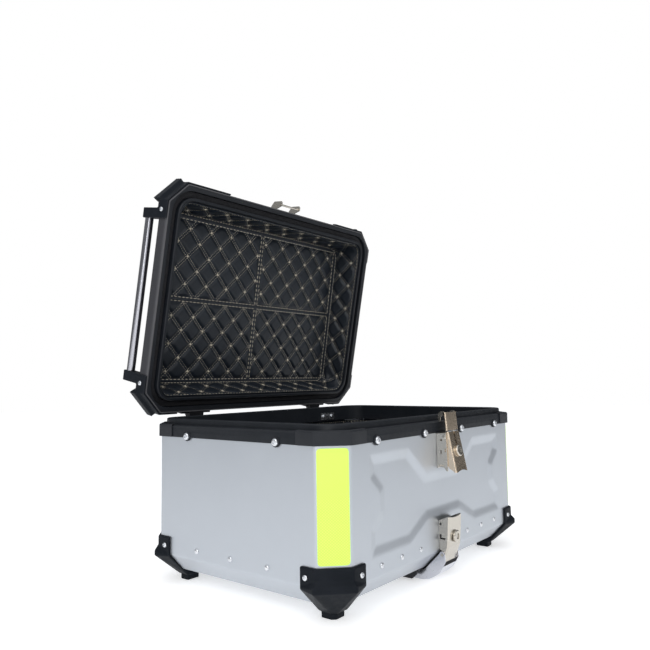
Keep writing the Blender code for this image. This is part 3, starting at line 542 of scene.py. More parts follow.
def folded_tub(profile, radius, step, splits, cap_first, relief=None):
    """A bent sheet tub: the section profile carried round the octagon, with rounded folds."""
    path = rounded_path(profile, radius, step)
    outer = []
    inner = []
    for k, (offset, z) in enumerate(path):
        before = path[max(k - 1, 0)]
        after = path[min(k + 1, len(path) - 1)]
        along = Vector((after[0] - before[0], after[1] - before[1])).normalized()
        normal = Vector((along.y, -along.x))
        if cap_first:
            normal = -normal
        ring = loop(octagon(offset), FOLD_RADIUS, splits, 5)
        inset = octagon(offset - normal.x * SHEET)
        ring_in = loop(inset, FOLD_RADIUS - SHEET * 0.5, splits, 5)
        outer.append(with_z(ring, z))
        inner.append(with_z(ring_in, z - normal.y * SHEET))
    count = len(outer[0])
    front = np.vstack(outer)
    back = np.vstack(inner)
    if relief:
        for sheet_points in (front, back):
            sheet_points[:, 1] += relief(sheet_points)
    faces = ring_faces(count, len(path))
    faces.append(tuple(range(count)) if cap_first else tuple(reversed(range(count))))
    return closed_sheet(front, back, faces)


def front_relief(points):
    outline = RELIEF_HALF + [(-x, z) for x, z in reversed(RELIEF_HALF)]
    on_front = points[:, 1] < -HALF_D + 2.2
    on_wall = points[:, 2] > 40.0
    inset = (inside_distance(points[:, 0], points[:, 2], outline) + 1.0) / (RELIEF_BEVEL + 2.0)
    bevel = 0.7 * np.clip(inset, 0.0, 1.0) + 0.3 * smooth_step(inset)
    return np.where(on_front & on_wall, RELIEF_DEPTH * bevel, 0.0)


def make_skins():
    """The metal tub and the lid's shell. Many cuts along the front carry the pressed panel."""
    coarse = [8, 4, 12, 4, 8, 4, 12, 4]
    fine_front = coarse[:6] + [210, 4]
    profile = [(-36.0, 0.0), (-24.0, 0.0), (0.0, 25.5), (0.0, 202.0)]
    tub, faces = folded_tub(profile, 6.0, 2.2, fine_front, False, front_relief)
    piece_from_arrays(
        "body_shell.skin", tub, faces, "case", "aluminium", "body_shell", smooth=50)
    profile = [(-44.0, LID_TOP), (-38.5, LID_TOP), (RIM_PROUD, 230.0), (RIM_PROUD, 209.3)]
    shell, faces = folded_tub(profile, 5.0, 6.0, coarse, True)
    piece_from_arrays(
        "lid_shell.skin", lid_pose(shell), faces, "lid", "lid_paint", "lid_shell", smooth=50)


# ---------------------------------------------------------------- quilted leather
PITCH = 45.5
TWIN = 2.1
CROWN = 3.0
HEM = 4.0
BAND = 0.55 * CROWN
BAND_REACH = 2.5
FINE_SEAM = (2.6, 1.4, 0.36)
LONG_SEAM = (4.2, 1.4, 0.4)
HEM_SEAM = (4.0, 2.4, 0.42, 0.4)
PANEL_SEAM = (5.0, 3.0, 0.55, 0.4)


def pillow(distance, reach=7.0):
    """Height of padding, 0 to 1, at a distance from a stitched line."""
    t = np.clip((distance - TWIN) / reach, 0.0, 1.0)
    welt = 0.16 * np.clip(1.0 - distance / TWIN, 0.0, 1.0)
    return 1.0 - (1.0 - t) ** 2.4 + welt


def quilt_height(u, v, origin, box):
    """Padding height over a panel quilted in diamonds, sewn down round its box."""
    a = (u - origin[0]) + (v - origin[1])
    b = (u - origin[0]) - (v - origin[1])
    da, db = (np.abs((w / PITCH + 0.5) % 1.0 - 0.5) * PITCH / math.sqrt(2.0) for w in (a, b))
    edge = np.minimum(np.minimum(u - box[0], box[1] - u), np.minimum(v - box[2], box[3] - v))
    field = np.minimum(pillow(da), 1.0) * np.minimum(pillow(db), 1.0)
    ridge = 0.14 * np.clip(1.0 - np.minimum(da, db) / TWIN, 0.0, 1.0)
    inner = np.clip(edge / 6.0, 0.0, 1.0)
    height = CROWN * (field * (1.0 - (1.0 - inner) ** 2) + ridge)
    return np.where(edge > 0.0, height, BAND * smooth_step(-edge / BAND_REACH))


def quilt_lines(origin, box):
    """Ends of every diagonal seam inside the box, and the crossing points."""
    lines = []
    u0, u1, v0, v1 = box
    shortest = 4.0
    reach = (u1 - u0) + (v1 - v0)
    for slope in (1.0, -1.0):
        first = math.floor(((u0 - origin[0]) - slope * (v1 - origin[1]) - reach) / PITCH)
        last = math.ceil(((u1 - origin[0]) - slope * (v0 - origin[1]) + reach) / PITCH)
        for k in range(first, last + 1):
            shift = origin[0] + k * PITCH
            ua, ub = (shift + slope * (v - origin[1]) for v in (v0, v1))
            shares = [max(0.0, min(1.0, (u - ua) / (ub - ua))) for u in (u0, u1)]
            low, high = min(shares), max(shares)
            if (high - low) * (v1 - v0) > shortest:
                lines.append([(ua + (ub - ua) * s, v0 + (v1 - v0) * s) for s in (low, high)])
    knots = []
    half = PITCH / 2
    steps = [
        range(math.floor((low - start) / half), math.ceil((high - start) / half) + 1)
        for low, high, start in ((u0, u1, origin[0]), (v0, v1, origin[1]))
    ]
    for i in steps[0]:
        for j in steps[1]:
            u = origin[0] + i * half
            v = origin[1] + j * half
            if (i + j) % 2 == 0 and u0 + 2 < u < u1 - 2 and v0 + 2 < v < v1 - 2:
                knots.append((u, v))
    return lines, knots


class Sewing:
    """Collects stitches laid on a surface and makes them as one piece."""

    def __init__(self, place):
        self.place = place
        self.points = []
        self.faces = []

    def stitch(self, start, end, radius, lift):
        """One raised stitch between two places on the surface."""
        start = Vector(start)
        end = Vector(end)
        a = Vector(self.place(*start, lift * 0.2))
        b = Vector(self.place(*end, lift * 0.2))
        middle = Vector(self.place(*((start + end) / 2), lift))
        along = (b - a).normalized()
        up = Vector(self.place(*start, lift + 1.0)) - a
        up = (up - along * up.dot(along)).normalized()
        side = along.cross(up)
        taper = along * radius * 0.6
        rings = ((a + taper, 0.75), (middle, 1.0), (b - taper, 0.75))
        base = len(self.points)
        self.points.append(a - up * radius * 0.4)
        for centre, size in rings:
            for k in range(5):
                angle = math.tau * k / 5
                out = up * math.sin(angle) + side * math.cos(angle)
                self.points.append(centre + out * radius * size)
        self.points.append(b - up * radius * 0.4)
        for k in range(5):
            n = (k + 1) % 5
            self.faces.append((base, base + 1 + n, base + 1 + k))
            for row in (base + 1, base + 6):
                self.faces.append((row + k, row + n, row + 5 + n, row + 5 + k))
            self.faces.append((base + 16, base + 11 + k, base + 11 + n))

    def row(self, start, end, length, gap, radius, lift=0.35):
        """Stitches of a length and gap spread evenly from start to end."""
        start = Vector(start)
        end = Vector(end)
        total = (end - start).length
        count = max(1, int((total - length) // (length + gap)) + 1)
        along = (end - start).normalized()
        spare = (total - count * (length + gap) + gap) / 2
        for k in range(count):
            first = start + along * (spare + k * (length + gap))
            self.stitch(first, first + along * length, radius, lift)

    def knot(self, u, v, radius=1.25):
        """A bead of thread where two seams cross."""
        for spread in (-0.5, 0.5):
            self.stitch((u - 1.7, v + spread), (u + 1.7, v + spread), radius * 0.62, 0.7)
            self.stitch((u + spread, v - 1.7), (u + spread, v + 1.7), radius * 0.62, 0.5)

    def panel(self, origin, box, seam=FINE_SEAM):
        """Twin rows along every seam of a quilted panel, and knots where they cross."""
        length, gap, radius = seam
        lines, knots = quilt_lines(origin, box)
        for start, end in lines:
            along = (Vector(end) - Vector(start)).normalized()
            thread = radius * (0.72 if along.x * along.y > 0 else 1.0)
            across = Vector((-along.y, along.x)) * TWIN * 0.95
            for side in (-1, 1):
                shift = across * side
                self.row(Vector(start) + shift, Vector(end) + shift, length, gap, thread)
        for u, v in knots:
            self.knot(u, v)

    def make(self, name, body):
        points = np.array([tuple(point) for point in self.points])
        piece_from_arrays(name, points, self.faces, body, "liner", material="thread")


def padded_piece(name, points, faces, body, node):
    pad = piece_from_arrays(name, points, faces, body, "liner", node)


def ceiling_z(y):
    """Height of the shut lid's quilted ceiling before padding: it rises towards the front."""
    return 261.5 - 4.0 * y / 130.0


LID_PANELS = (
    ((-30.0, -116.0), (-209.0, -4.0, -129.0, -4.5)),
    ((11.0, -116.0), (4.0, 209.0, -129.0, -4.5)),
    ((-5.0, 28.0), (-209.0, -4.0, 4.5, 131.0)),
    ((36.0, 28.0), (4.0, 209.0, 4.5, 131.0)),
)


def panels_height(u, v, panels):
    """Padding height over several panels; between them runs a flat rolled band."""
    height = np.full(np.shape(u), BAND)
    for origin, box in panels:
        u0, u1, v0, v1 = box
        near = (u > u0 - BAND_REACH) & (u < u1 + BAND_REACH)
        near &= (v > v0 - BAND_REACH) & (v < v1 + BAND_REACH)
        height = np.where(near, quilt_height(u, v, origin, box), height)
    return height


def flat_grid(hx, hy, radius, step):
    """Grid points over a rounded rectangle; points past a corner's arc are pulled onto it."""
    nx = round(2 * hx / step)
    ny = round(2 * hy / step)
    x, y = np.meshgrid(np.linspace(-hx, hx, nx + 1), np.linspace(-hy, hy, ny + 1), indexing="ij")
    cx = np.sign(x) * (hx - radius)
    cy = np.sign(y) * (hy - radius)
    away = np.hypot(x - cx, y - cy)
    outside = (np.abs(x) > hx - radius) & (np.abs(y) > hy - radius) & (away > radius)
    pull = np.where(outside, radius / np.maximum(away, 1e-6), 1.0)
    x = np.where(outside, cx + (x - cx) * pull, x)
    y = np.where(outside, cy + (y - cy) * pull, y)
    index = np.arange((nx + 1) * (ny + 1)).reshape(nx + 1, ny + 1)
    faces = []
    for i in range(nx):
        for j in range(ny):
            if not outside[i:i + 2, j:j + 2].all():
                square = ((i, j), (i, j + 1), (i + 1, j + 1), (i + 1, j))
                faces.append([int(index[corner]) for corner in square])
    used = sorted({i for face in faces for i in face})
    renumber = {old: new for new, old in enumerate(used)}
    faces = [tuple(renumber[i] for i in face) for face in faces]
    return x.ravel()[used], y.ravel()[used], faces


def edge_inset(x, y, hx, hy, radius):
    """Distance inwards from the edge of a rounded rectangle."""
    qx = np.abs(x) - (hx - radius)
    qy = np.abs(y) - (hy - radius)
    outer = np.hypot(np.maximum(qx, 0.0), np.maximum(qy, 0.0))
    return radius - outer - np.minimum(np.maximum(qx, qy), 0.0)


LID_PAD = (220.0, 140.5, 24.0)


def lid_ceiling_point(x, y, lift=0.0):
    """Point of the shut lid's padded ceiling, lifted towards the inside."""
    x = np.asarray(x, dtype=float)
    y = np.asarray(y, dtype=float)
    turn = 4.0
    roll = turn * (1.0 - np.clip(edge_inset(x, y, *LID_PAD) / turn, 0.0, 1.0)) ** 2
    return ceiling_z(y) - panels_height(x, y, LID_PANELS) - lift + roll


def open_point(x, y, z):
    return tuple(lid_pose([(x, y, z)])[0])


def make_lid_ceiling():
    x, y, faces = flat_grid(*LID_PAD, 1.5)
    front = np.column_stack((x, y, lid_ceiling_point(x, y)))
    back = np.column_stack((x, y, ceiling_z(y) + 3.0))
    points, faces = closed_sheet(front, back, faces)
    padded_piece("lid_liner.ceiling", lid_pose(points), faces, "lid", "lid_liner")
    sewing = Sewing(lambda u, v, lift: open_point(u, v, float(lid_ceiling_point(u, v, lift))))
    for origin, box in LID_PANELS:
        sewing.panel(origin, box)
        u0, u1, v0, v1 = (value + out for value, out in zip(box, (-1.3, 1.3, -1.3, 1.3)))
        corners = ((u0, v0), (u1, v0), (u1, v1), (u0, v1))
        for start, end in zip(corners, corners[1:] + corners[:1]):
            sewing.row(start, end, *PANEL_SEAM)
    for v in (-137.0, 137.0):
        sewing.row((-200.0, v), (200.0, v), *HEM_SEAM)
    sewing.make("lid_liner.ceiling_stitches", "lid")


class QuiltedWall:
    """A quilted band round the inside of the case or the lid, between two rings of points.

    Along it runs u, stretched so that the diamonds close; up its slope runs v. A bulge
    makes the middle of the band sink back from the opening.
    """

    def __init__(self, low, high, bulge):
        self.low = np.asarray(low)
        self.high = np.asarray(high)
        self.bulge = bulge
        middle = (self.low + self.high)[:, :2] / 2
        ahead = np.roll(middle, -1, axis=0)
        behind = np.roll(middle, 1, axis=0)
        lengths = np.hypot(*(ahead - middle).T)
        total = lengths.sum()
        self.count = len(middle)
        self.around = np.concatenate(([0.0], np.cumsum(lengths)))
        self.scale = round(total / PITCH) * PITCH / total
        self.length = total * self.scale
        tangent = ahead - behind
        tangent /= np.hypot(*tangent.T)[:, None]
        inward = np.column_stack((-tangent[:, 1], tangent[:, 0]))
        rise = self.high - self.low
        self.slope = float(np.hypot(np.hypot(rise[0, 0], rise[0, 1]), rise[0, 2]))
        lean = np.einsum("ij,ij->i", rise[:, :2], inward) / self.slope
        up = rise[:, 2] / self.slope
        self.normal = np.column_stack((inward * up[:, None], -lean))
        self.origin = (0.0, self.slope * 0.5 - PITCH * 0.25)

    def out(self, u, v, s):
        """How far the padding stands out, s being the share of the slope."""
        height = quilt_height(u, v, self.origin, (-1e6, 1e6, HEM, self.slope - HEM))
        return height - self.sag(s)

    def sag(self, s):
        return self.bulge * 4.0 * s * (1.0 - s)

    def at(self, u, v, lift=0.0):
        """Point at u round the band and v up its slope."""
        around = (u / self.scale) % self.around[-1]
        k = int(np.searchsorted(self.around, around, side="right")) - 1
        k = min(k, self.count - 1)
        n = (k + 1) % self.count
        t = (around - self.around[k]) / (self.around[k + 1] - self.around[k])
        low, high, normal = (
            ring[k] * (1 - t) + ring[n] * t for ring in (self.low, self.high, self.normal))
        s = v / self.slope
        out = float(self.out(np.array(u), np.array(v), s)) + lift
        return low + (high - low) * s + normal * out

    def build(self, rows, thickness):
        """The band's points and faces, with a flat back."""
        fronts = []
        backs = []
        u = self.around[:-1] * self.scale
        for j in range(rows + 1):
            s = j / rows
            base = self.low + (self.high - self.low) * s
            out = self.out(u, np.full(self.count, s * self.slope), s)
            fronts.append(base + self.normal * out[:, None])
            backs.append(base - self.normal * (thickness + self.sag(s)))
        faces = ring_faces(self.count, rows + 1)
        return closed_sheet(np.vstack(fronts), np.vstack(backs), faces)

    def sewing(self, place, seam):
        """All the seams of the band; place takes a point to where it is drawn."""
        sewing = Sewing(lambda u, v, lift: place(*self.at(u, v, lift)))
        sewing.panel(self.origin, (0.0, self.length, HEM, self.slope - HEM), seam)
        for v in (HEM - 1.3, self.slope - HEM + 1.3):
            sewing.row((0.0, v), (self.length, v), *HEM_SEAM)
        return sewing


def make_lid_wall():
    splits = [130, 210, 130, 210]
    low = with_z(loop(rectangle(230.3, 150.8), 22.3, splits, 16), 212.5)
    high_ring = loop(rectangle(217.0, 137.5), 22.0, splits, 16)
    high = with_z(high_ring, ceiling_z(high_ring[:, 1]) - 0.5)
    wall = QuiltedWall(low, high, 1.0)
    points, faces = wall.build(30, 1.0)
    padded_piece("lid_liner.wall", lid_pose(points), faces, "lid", "lid_liner")
    wall.sewing(open_point, FINE_SEAM).make("lid_liner.wall_stitches", "lid")


def make_body_lining():
    """The case's lining: its wall, a sloping skirt over the bent floor edge, and its floor."""
    splits = [120, 20, 190, 20, 120, 20, 190, 20]
    parts = (
        ("wall", (-7.0, 9.0, 30.0), (-6.6, 9.0, 185.6), 72),
        ("skirt", (-33.0, 7.0, 8.6), (-8.0, 9.0, 31.5), 18),
    )
    for label, low, high, rows in parts:
        rings = [with_z(loop(octagon(a), radius, splits, 4), z) for a, radius, z in (low, high)]
        band = QuiltedWall(*rings, 0.0)
        points, faces = band.build(rows, 1.0)
        padded_piece(f"body_liner.{label}", points, faces, "case", "body_liner")
        seams = band.sewing(lambda x, y, z: (x, y, z), LONG_SEAM)
        seams.make(f"body_liner.{label}_stitches", "case")
    hx = HALF_W - 30.0
    hy = HALF_D - 30.0
    box = (-hx + 5.0, hx - 5.0, -hy + 5.0, hy - 5.0)

    def floor_z(u, v):
        return 7.0 + quilt_height(np.asarray(u), np.asarray(v), (0.0, 0.0), box)

    x, y, faces = flat_grid(hx, hy, 24.0, 2.2)
    front = np.column_stack((x, y, floor_z(x, y)))
    back = np.column_stack((x, y, np.full(len(x), 4.4)))
    points, faces = closed_sheet(front, back, faces)
    padded_piece("body_liner.floor", points, faces, "case", "body_liner")
    sewing = Sewing(lambda u, v, lift: (u, v, float(floor_z(u, v)) + lift))
    sewing.panel((0.0, 0.0), box, LONG_SEAM)
    sewing.make("body_liner.floor_stitches", "case")


# ---------------------------------------------------------------- small fittings
def turned(bm, profile, base, direction, segments=20):
    """Add a body of revolution; the profile gives (radius, distance along the axis) in mm."""
    axis = Vector(direction).normalized()
    side = axis.orthogonal().normalized()
    up = axis.cross(side)
    rings = []
    for radius, along in profile:
        centre = Vector(base) + axis * along
        if radius < 1e-6:
            rings.append([bm.verts.new(centre * MM)])
            continue
        ring = []
        for k in range(segments):
            angle = math.tau * k / segments
            out = side * math.cos(angle) + up * math.sin(angle)
            ring.append(bm.verts.new((centre + out * radius) * MM))
        rings.append(ring)
    for low, high in zip(rings, rings[1:]):
        for k in range(segments):
            n = (k + 1) % segments
            corners = [(low, k), (low, n), (high, n), (high, k)]
            distinct = list(dict.fromkeys(ring[i % len(ring)] for ring, i in corners))
            if len(distinct) > 2:
                bm.faces.new(distinct)
    if len(rings[0]) > 1:
        bm.faces.new(list(reversed(rings[0])))
    if len(rings[-1]) > 1:
        bm.faces.new(rings[-1])


RIVET = [(3.6, -0.4), (3.6, 0.35), (3.3, 0.9), (2.5, 1.5), (1.3, 1.85), (0.0, 1.95)]
SOCKET_SCREW = [
    (4.9, 0.0), (4.9, 0.9), (4.6, 1.7), (3.9, 2.35), (2.9, 2.75), (1.9, 2.8), (1.7, 2.7),
    (1.65, 1.1), (0.0, 1.0),
]
SMALL_SCREW = [
    (3.6, -0.5), (3.6, 0.5), (3.3, 1.1), (2.6, 1.6), (1.8, 1.85), (1.4, 1.8), (1.3, 0.9),
    (0.0, 0.8),
]
LID_TURN = (
    Matrix.Translation(Vector(HINGE) * MM)
    @ Matrix.Rotation(-LID_OPEN, 4, "X")
    @ Matrix.Translation(-Vector(HINGE) * MM)
)
GUARD_FACE = 3.4
RIVET_Z = 38.0
QUARTERS = ((-1, -1), (-1, 1), (1, -1), (1, 1))


def make_rivets():
    bm = bmesh.new()
    for side in (-1, 1):
        for x in (-162.5, -115.6, -68.4, 68.4, 115.6, 162.5):
            turned(bm, RIVET, (x, side * HALF_D, RIVET_Z), (0, side, 0))
        for y in (-65.7, 0.0, 65.7):
            turned(bm, RIVET, (side * HALF_W, y, RIVET_Z), (side, 0, 0))
    new_piece("rivets", bm, "case", "aluminium", material="zinc")


def make_screws():
    """Heads of the small screws that the CAD leaves out, and the rim screws with their sockets."""
    bm = bmesh.new()
    for sx, sy in QUARTERS:
        turned(bm, SMALL_SCREW, (sx * 210.0, sy * (HALF_D + GUARD_FACE), RIVET_Z), (0, sy, 0))
        turned(bm, SMALL_SCREW, (sx * (HALF_W + GUARD_FACE), sy * 130.5, RIVET_Z), (sx, 0, 0))
    new_piece("guard_screws", bm, "case", "zinc")
    bm = bmesh.new()
    for sx, sy in QUARTERS:
        turned(bm, SMALL_SCREW, (sx * 258.6, sy * 131.0, 222.0), (sx, 0, 0))
    bm.transform(LID_TURN)
    new_piece("lid_corner_screws", bm, "lid", "zinc")
    for label, body, y, z in (("base", "case", 180.3, 181.0), ("leaf", "lid", 179.9, 220.8)):
        bm = bmesh.new()
        for x in (-169.0, -131.0, 131.0, 169.0):
            turned(bm, SMALL_SCREW, (x, y, z), (0, 1, 0))
        if body == "lid":
            bm.transform(LID_TURN)
        new_piece(f"hinge_{label}_screws", bm, body, "black_steel", material="zinc")
    for node in frame["nodes"]:
        if node.startswith("rim_screw_"):
            low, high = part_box(node)
            place = [(a + b) / 2 / MM for a, b in zip(low, high)]
            axis = 0 if high[0] - low[0] < high[1] - low[1] else 1
            direction = [0, 0, 0]
            direction[axis] = math.copysign(1, place[axis])
            place[axis] = (low if place[axis] > 0 else high)[axis] / MM
            bm = bmesh.new()
            turned(bm, SOCKET_SCREW, place, direction, 24)
            new_piece(f"{node}.head", bm, "case", "zinc", node)


STEEL_SHEET = 1.4


def channel(rows, half, bend, bite_low=0.0, bite_high=0.0, skip=None):
    """A sheet bent to a U: rows of (z, front y, back y of the side walls), from the bottom up.

    The bites hollow out its lower and upper ends; skip(corner, corner) leaves out a face.
    """
    outer = []
    inner = []
    zs, fronts, backs = zip(*rows)
    levels = []
    for low, high in zip(zs, zs[1:]):
        pieces = max(1, round((high - low) / 1.2))
        levels += [low + (high - low) * k / pieces for k in range(pieces)]
    levels.append(zs[-1])
    span = levels[-1] - levels[0]
    for z in levels:
        front = float(np.interp(z, zs, fronts))
        back = max(float(np.interp(z, zs, backs)), front + bend + 0.4)
        share = (z - levels[0]) / span
        bite = bite_low * (1.0 - share) ** 8 - bite_high * share ** 8
        for store, inset in ((outer, 0.0), (inner, STEEL_SHEET)):
            radius = max(bend - inset, 0.3)
            x_side = half - inset
            y_bend = front + inset + radius
            flat = x_side - radius
            path = [(-x_side, back + (y_bend - back) * k / 10) for k in range(10)]
            for k in range(9):
                angle = math.pi / 2 * k / 8
                path.append((-flat - radius * math.cos(angle), y_bend - radius * math.sin(angle)))
            path += [(-flat + 2 * flat * k / 32, front + inset) for k in range(1, 32)]
            path += [(-x, y) for x, y in reversed(path[:19])]
            for x, y in path:
                hollow = max(0.0, 1.0 - (x / (half - 2.5)) ** 2)
                store.append((x, y, z + bite * hollow))
    count = len(path)
    faces = []
    for j in range(len(levels) - 1):
        for i in range(count - 1):
            a = j * count + i
            if skip is None or not skip(outer[a], outer[a + count + 1]):
                faces.append((a, a + 1, a + count + 1, a + count))
    return closed_sheet(np.array(outer), np.array(inner), faces)


def bent(name, points_faces, body, node, material=None):
    piece_from_arrays(name, *points_faces, body, "stainless", node, material=material, smooth=40)


def plates(name, profile, spans, body, slot, *replaced, bevel=0.35):
    """Flat plates cut to a (y, z) outline, one for each span in x, with rounded edges."""
    bm = bmesh.new()
    for low, high in spans:
        rings = [[bm.verts.new((x * MM, y * MM, z * MM)) for y, z in profile] for x in (low, high)]
        count = len(profile)
        bm.faces.new(rings[0])
        bm.faces.new(list(reversed(rings[1])))
        for i in range(count):
            j = (i + 1) % count
            bm.faces.new((rings[0][i], rings[1][i], rings[1][j], rings[0][j]))
    bmesh.ops.recalc_face_normals(bm, faces=bm.faces)
    edges = [edge for edge in bm.edges if edge.is_manifold and edge.calc_face_angle() > 1.2]
    bmesh.ops.bevel(
        bm, geom=edges, offset=bevel * MM, segments=2, affect="EDGES", clamp_overlap=True)
    new_piece(name, bm, body, slot, *replaced)


def cut(item, *boxes):
    """Punch small slots, given as (low corner, high corner) in mm, through a piece."""
    bm = bmesh.new()
    for low, high in boxes:
        made = bmesh.ops.create_cube(bm, size=1.0)["verts"]
        size = [(b - a) * MM for a, b in zip(low, high)]
        middle = [(a + b) / 2 * MM for a, b in zip(low, high)]
        place = Matrix.Translation(middle) @ Matrix.Diagonal((*size, 1.0))
        bmesh.ops.transform(bm, matrix=place, verts=made)
    tool = add_mesh("cutter", bm)
    boolean = item.modifiers.new("cut", "BOOLEAN")
    boolean.object = tool
    boolean.solver = "EXACT"
    apply_modifiers(item)
    bpy.data.objects.remove(tool, do_unlink=True)


HOOK_AXIS = (-189.5, 174.0)
LEVER_LOCK_Z = 164.5


def make_latch():
    """Top latch: base, lever and hook as bent sheet."""
    slot_low = LEVER_LOCK_Z + 9.0
    bottom = 135.7
    backs = (
        (bottom, -201.2), (138.4, -198.0), (140.5, -193.5), (147.0, -190.0), (160.0, -188.0),
        (175.5, -186.2), (183.5, -183.4), (188.0, -185.0), (191.8, -189.5),
    )
    lever = [(z, -204.92 + 0.2165 * (z - bottom), back) for z, back in backs]

    def in_slot(low, high):
        return min(abs(low[0]), abs(high[0])) < 1.0 and high[2] > slot_low

    sheet = channel(lever, 16.7, 2.4, bite_low=2.5, skip=in_slot)
    # Lever and hook take the steel whose warm tint is a painted reflection.
    bent("latch_lever.bent", sheet, "latch_lever", "latch_lever", "stainless_painted_warm_reflection")
    hook = (
        (193.4, -191.8, -189.0), (208.0, -190.3, -187.5), (212.0, -189.9, -187.0),
        (219.0, -189.2, -184.6),
    )
    sheet = channel(hook, 16.5, 2.2)
    bent("latch_hook.bent", sheet, "latch_hook", "latch_hook", "stainless_painted_warm_reflection")
    steel_hook = ("latch_hook", "stainless", "latch_hook")
    cheek = [
        (-189.3, 195.0), (-187.0, 218.6), (-186.0, 220.4), (-181.5, 220.4), (-178.2, 218.2),
        (-177.0, 214.5), (-177.1, 207.5), (-179.0, 205.8), (-181.0, 207.0), (-181.6, 212.6),
        (-183.4, 214.2), (-185.6, 213.8), (-186.9, 211.8), (-187.6, 204.0), (-188.2, 197.0),
    ]
    plates("latch_hook.cheeks", cheek, ((-16.5, -15.1), (15.1, 16.5)), *steel_hook)
    tongue = [
        (-190.3, 174.0), (-191.8, 192.0), (-191.3, 197.0), (-189.9, 197.0), (-190.3, 192.0),
        (-188.7, 174.0),
    ]
    plates("latch_hook.tongue", tongue, ((-1.5, 1.5),), *steel_hook)
    bm = bmesh.new()
    eye = [(2.2, 0.0), (3.0, 0.6), (3.0, 24.4), (2.2, 25.0)]
    turned(bm, eye, (-12.5, *HOOK_AXIS), (1, 0, 0), 24)
    new_piece("latch_hook.eye", bm, *steel_hook)
    marks = (
        ((-183.2, 178.6), (-181.2, 181.6)), ((-182.4, 160.6), (-180.8, 165.8)),
        ((-189.4, 163.6), (-187.8, 168.4)), ((-185.8, 143.8), (-178.4, 145.4)),
    )
    cut(softened("latch_base", "case", 0.3), *(
        ((-20.0, *low), (-15.5, *high)) for low, high in marks))


def make_release():
    """Bottom release: housing and lever as bent sheet."""
    marks = (
        (-178.6, -176.0, 61.0, 65.0), (-178.6, -176.6, 43.0, 49.5), (-184.5, -176.6, 42.4, 44.4),
    )

    def in_marks(low, high):
        y = (low[1] + high[1]) / 2
        z = (low[2] + high[2]) / 2
        return abs(low[0]) > 18.4 and any(a < y < b and c < z < d for a, b, c, d in marks)

    housing = (
        (7.0, -179.4, -176.2), (20.0, -184.4, -178.6), (26.5, -186.9, -178.6),
        (28.5, -187.7, -174.8), (31.4, -188.8, -174.8), (49.0, -190.3, -174.8),
        (67.5, -191.4, -174.8), (70.0, -191.6, -180.0), (73.4, -191.8, -188.0),
    )
    sheet = channel(housing, 18.5, 2.6, bite_high=1.8, skip=in_marks)
    bent("release_housing.bent", sheet, "case", "release_housing")
    strip = [(-181.2, 7.6), (-179.4, 5.2), (-177.2, 5.4), (-176.8, 7.8), (-180.2, 10.8)]
    plates("release_housing.strip", strip, ((-17.8, 17.8),), "case", "rubber", bevel=0.7)
    softened("release_lever", "release_lever", 0.4, material="cool_stainless")


RAIL_AT = (250.0, 125.6, 260.5)
RAIL_RADIUS = 6.3


def make_rails():
    """The carrying tubes, with turned ends in their sockets."""
    x, end, z = RAIL_AT
    for side, label in ((-1, "left"), (1, "right")):
        bm = bmesh.new()
        profile = [(RAIL_RADIUS - 0.9, 0.0), (RAIL_RADIUS, 0.9)]
        profile += [(RAIL_RADIUS, 0.9 + (2 * end - 1.8) * k / 12) for k in range(1, 13)]
        profile += [(RAIL_RADIUS - 0.9, 2 * end)]
        turned(bm, profile, (side * x, -end, z), (0, 1, 0), 40)
        bm.transform(LID_TURN)
        node = f"rail_{label}"
        new_piece(f"{node}.tube", bm, "lid", "stainless", node, material="polished")


SEAL_WIDTH = 9.6
SEAL_FACE = 216.2
SEAL_BACK = 218.6


def make_gasket():
    """Foam seal in the lid's channel with fine ridges along it."""
    splits = [24, 40, 24, 40]
    steps = 40
    section = []
    for k in range(steps + 1):
        ridge = 0.5 * abs(math.sin(math.pi * 5.0 * k / steps))
        z = SEAL_FACE - ridge - 0.5 * math.sin(math.pi * k / steps)
        section.append((SEAL_WIDTH * k / steps, z))
    section += [(SEAL_WIDTH, SEAL_BACK), (0.0, SEAL_BACK)]
    rows = []
    for inset, z in section:
        corners = rectangle(246.8 - inset, 167.1 - inset)
        rows.append(with_z(loop(corners, 36.8 - inset * 0.8, splits, 12), z))
    faces = ring_faces(len(rows[0]), len(rows), closed_rows=True)
    points = lid_pose(np.vstack(rows))
    piece_from_arrays("lid_gasket.ribs", points, faces, "lid", "rubber", "lid_gasket", smooth=70)


make_skins()
make_lid_ceiling()
make_lid_wall()
make_body_lining()
make_rivets()
make_screws()
make_latch()
make_release()
make_rails()
make_gasket()


# ---------------------------------------------------------------- camera, light and floor
CAMERA_AT = (-849.3, -640.1, 268.1)
CAMERA_YAW = 0.8952
CAMERA_PITCH = 0.0834
CAMERA_ROLL = -0.0144
CAMERA_LENS = 36.08


def make_camera():
    turn = (
        Matrix.Rotation(-CAMERA_YAW, 4, "Z")
        @ Matrix.Rotation(math.pi / 2 + CAMERA_PITCH, 4, "X")
        @ Matrix.Rotation(CAMERA_ROLL, 4, "Z")
    )
    data = bpy.data.cameras.new("camera")
    data.lens = CAMERA_LENS
    data.sensor_width = 36.0
    data.clip_start = 0.01
    camera = add_object("camera", data)
    camera.matrix_world = Matrix.Translation(Vector(CAMERA_AT) * MM) @ turn
    bpy.context.scene.camera = camera


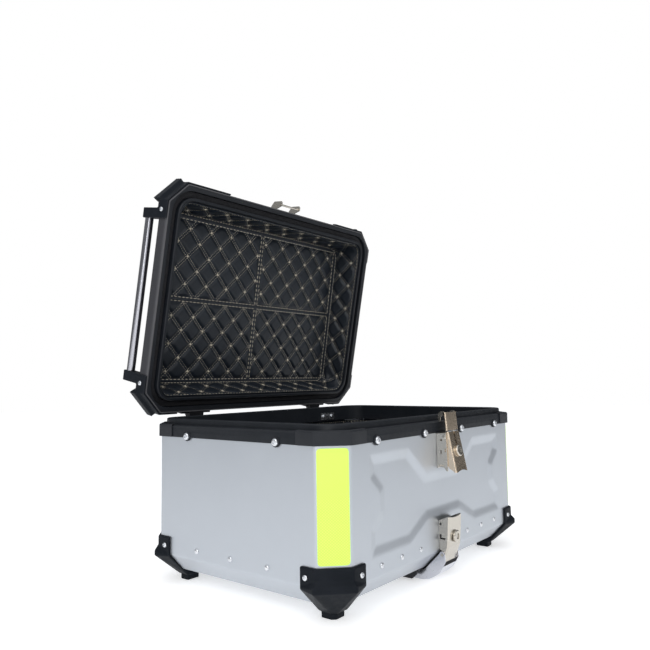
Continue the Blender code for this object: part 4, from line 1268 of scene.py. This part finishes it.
def area_light(name, place, target, size, power):
    data = bpy.data.lights.new(name, "AREA")
    data.shape = "RECTANGLE"
    data.size, data.size_y = size
    data.energy = power
    aim = (Vector(target) - Vector(place)).to_track_quat("-Z", "Y")
    lamp = add_object(name, data)
    lamp.matrix_world = Matrix.Translation(place) @ aim.to_matrix().to_4x4()


def make_world():
    """Camera rays see white; for light there is a sky, dimmer low down and to the right."""
    world = bpy.data.worlds.new("studio")
    world.use_nodes = True
    nodes = Nodes(world.node_tree)
    sky = nodes.tree.nodes["Background"]
    sky.inputs["Color"].default_value = (0.94, 0.965, 1.0, 1.0)
    split = nodes.node("ShaderNodeSeparateXYZ")
    nodes.link(nodes.node("ShaderNodeTexCoord").outputs["Generated"], split.inputs["Vector"])
    across = nodes.node("ShaderNodeMath", operation="MULTIPLY")
    nodes.link(nodes.spread(split.outputs["Z"], 0.2, 0.95, 0.15, 0.8), across.inputs[0])
    nodes.link(nodes.spread(split.outputs["X"], 1.15, 0.48, -0.6, 1.0), across.inputs[1])
    nodes.link(across.outputs["Value"], sky.inputs["Strength"])
    white = nodes.node("ShaderNodeBackground", Color=(1.0, 1.0, 1.0, 1.0), Strength=1.0)
    mix = nodes.node("ShaderNodeMixShader")
    nodes.link(nodes.node("ShaderNodeLightPath").outputs["Is Camera Ray"], mix.inputs["Fac"])
    nodes.link(sky.outputs["Background"], mix.inputs[1])
    nodes.link(white.outputs["Background"], mix.inputs[2])
    nodes.link(mix.outputs["Shader"], nodes.tree.nodes["World Output"].inputs["Surface"])
    bpy.context.scene.world = world


def make_floor():
    bm = bmesh.new()
    bmesh.ops.create_grid(bm, x_segments=24, y_segments=24, size=6.0)
    floor = add_mesh("floor", bm)
    floor.location.z = (FLOOR_Z - 0.2) * MM
    floor.data.materials.append(floor_paint())


make_camera()
make_world()
area_light("key", (-2.4, -0.9, 2.0), (0, 0, 0.1), (2.4, 1.8), 34.0)
area_light("front", (0.3, -2.9, 1.5), (0, 0, 0.05), (2.4, 1.4), 14.0)
area_light("strip", (-2.3, -1.9, 0.7), (0, -0.1, 0.15), (0.5, 1.6), 9.0)
area_light("top", (0.2, 0.4, 3.0), (0, 0, 0.0), (3.2, 3.2), 8.0)
make_floor()
bpy.context.scene.view_settings.view_transform = "Standard"
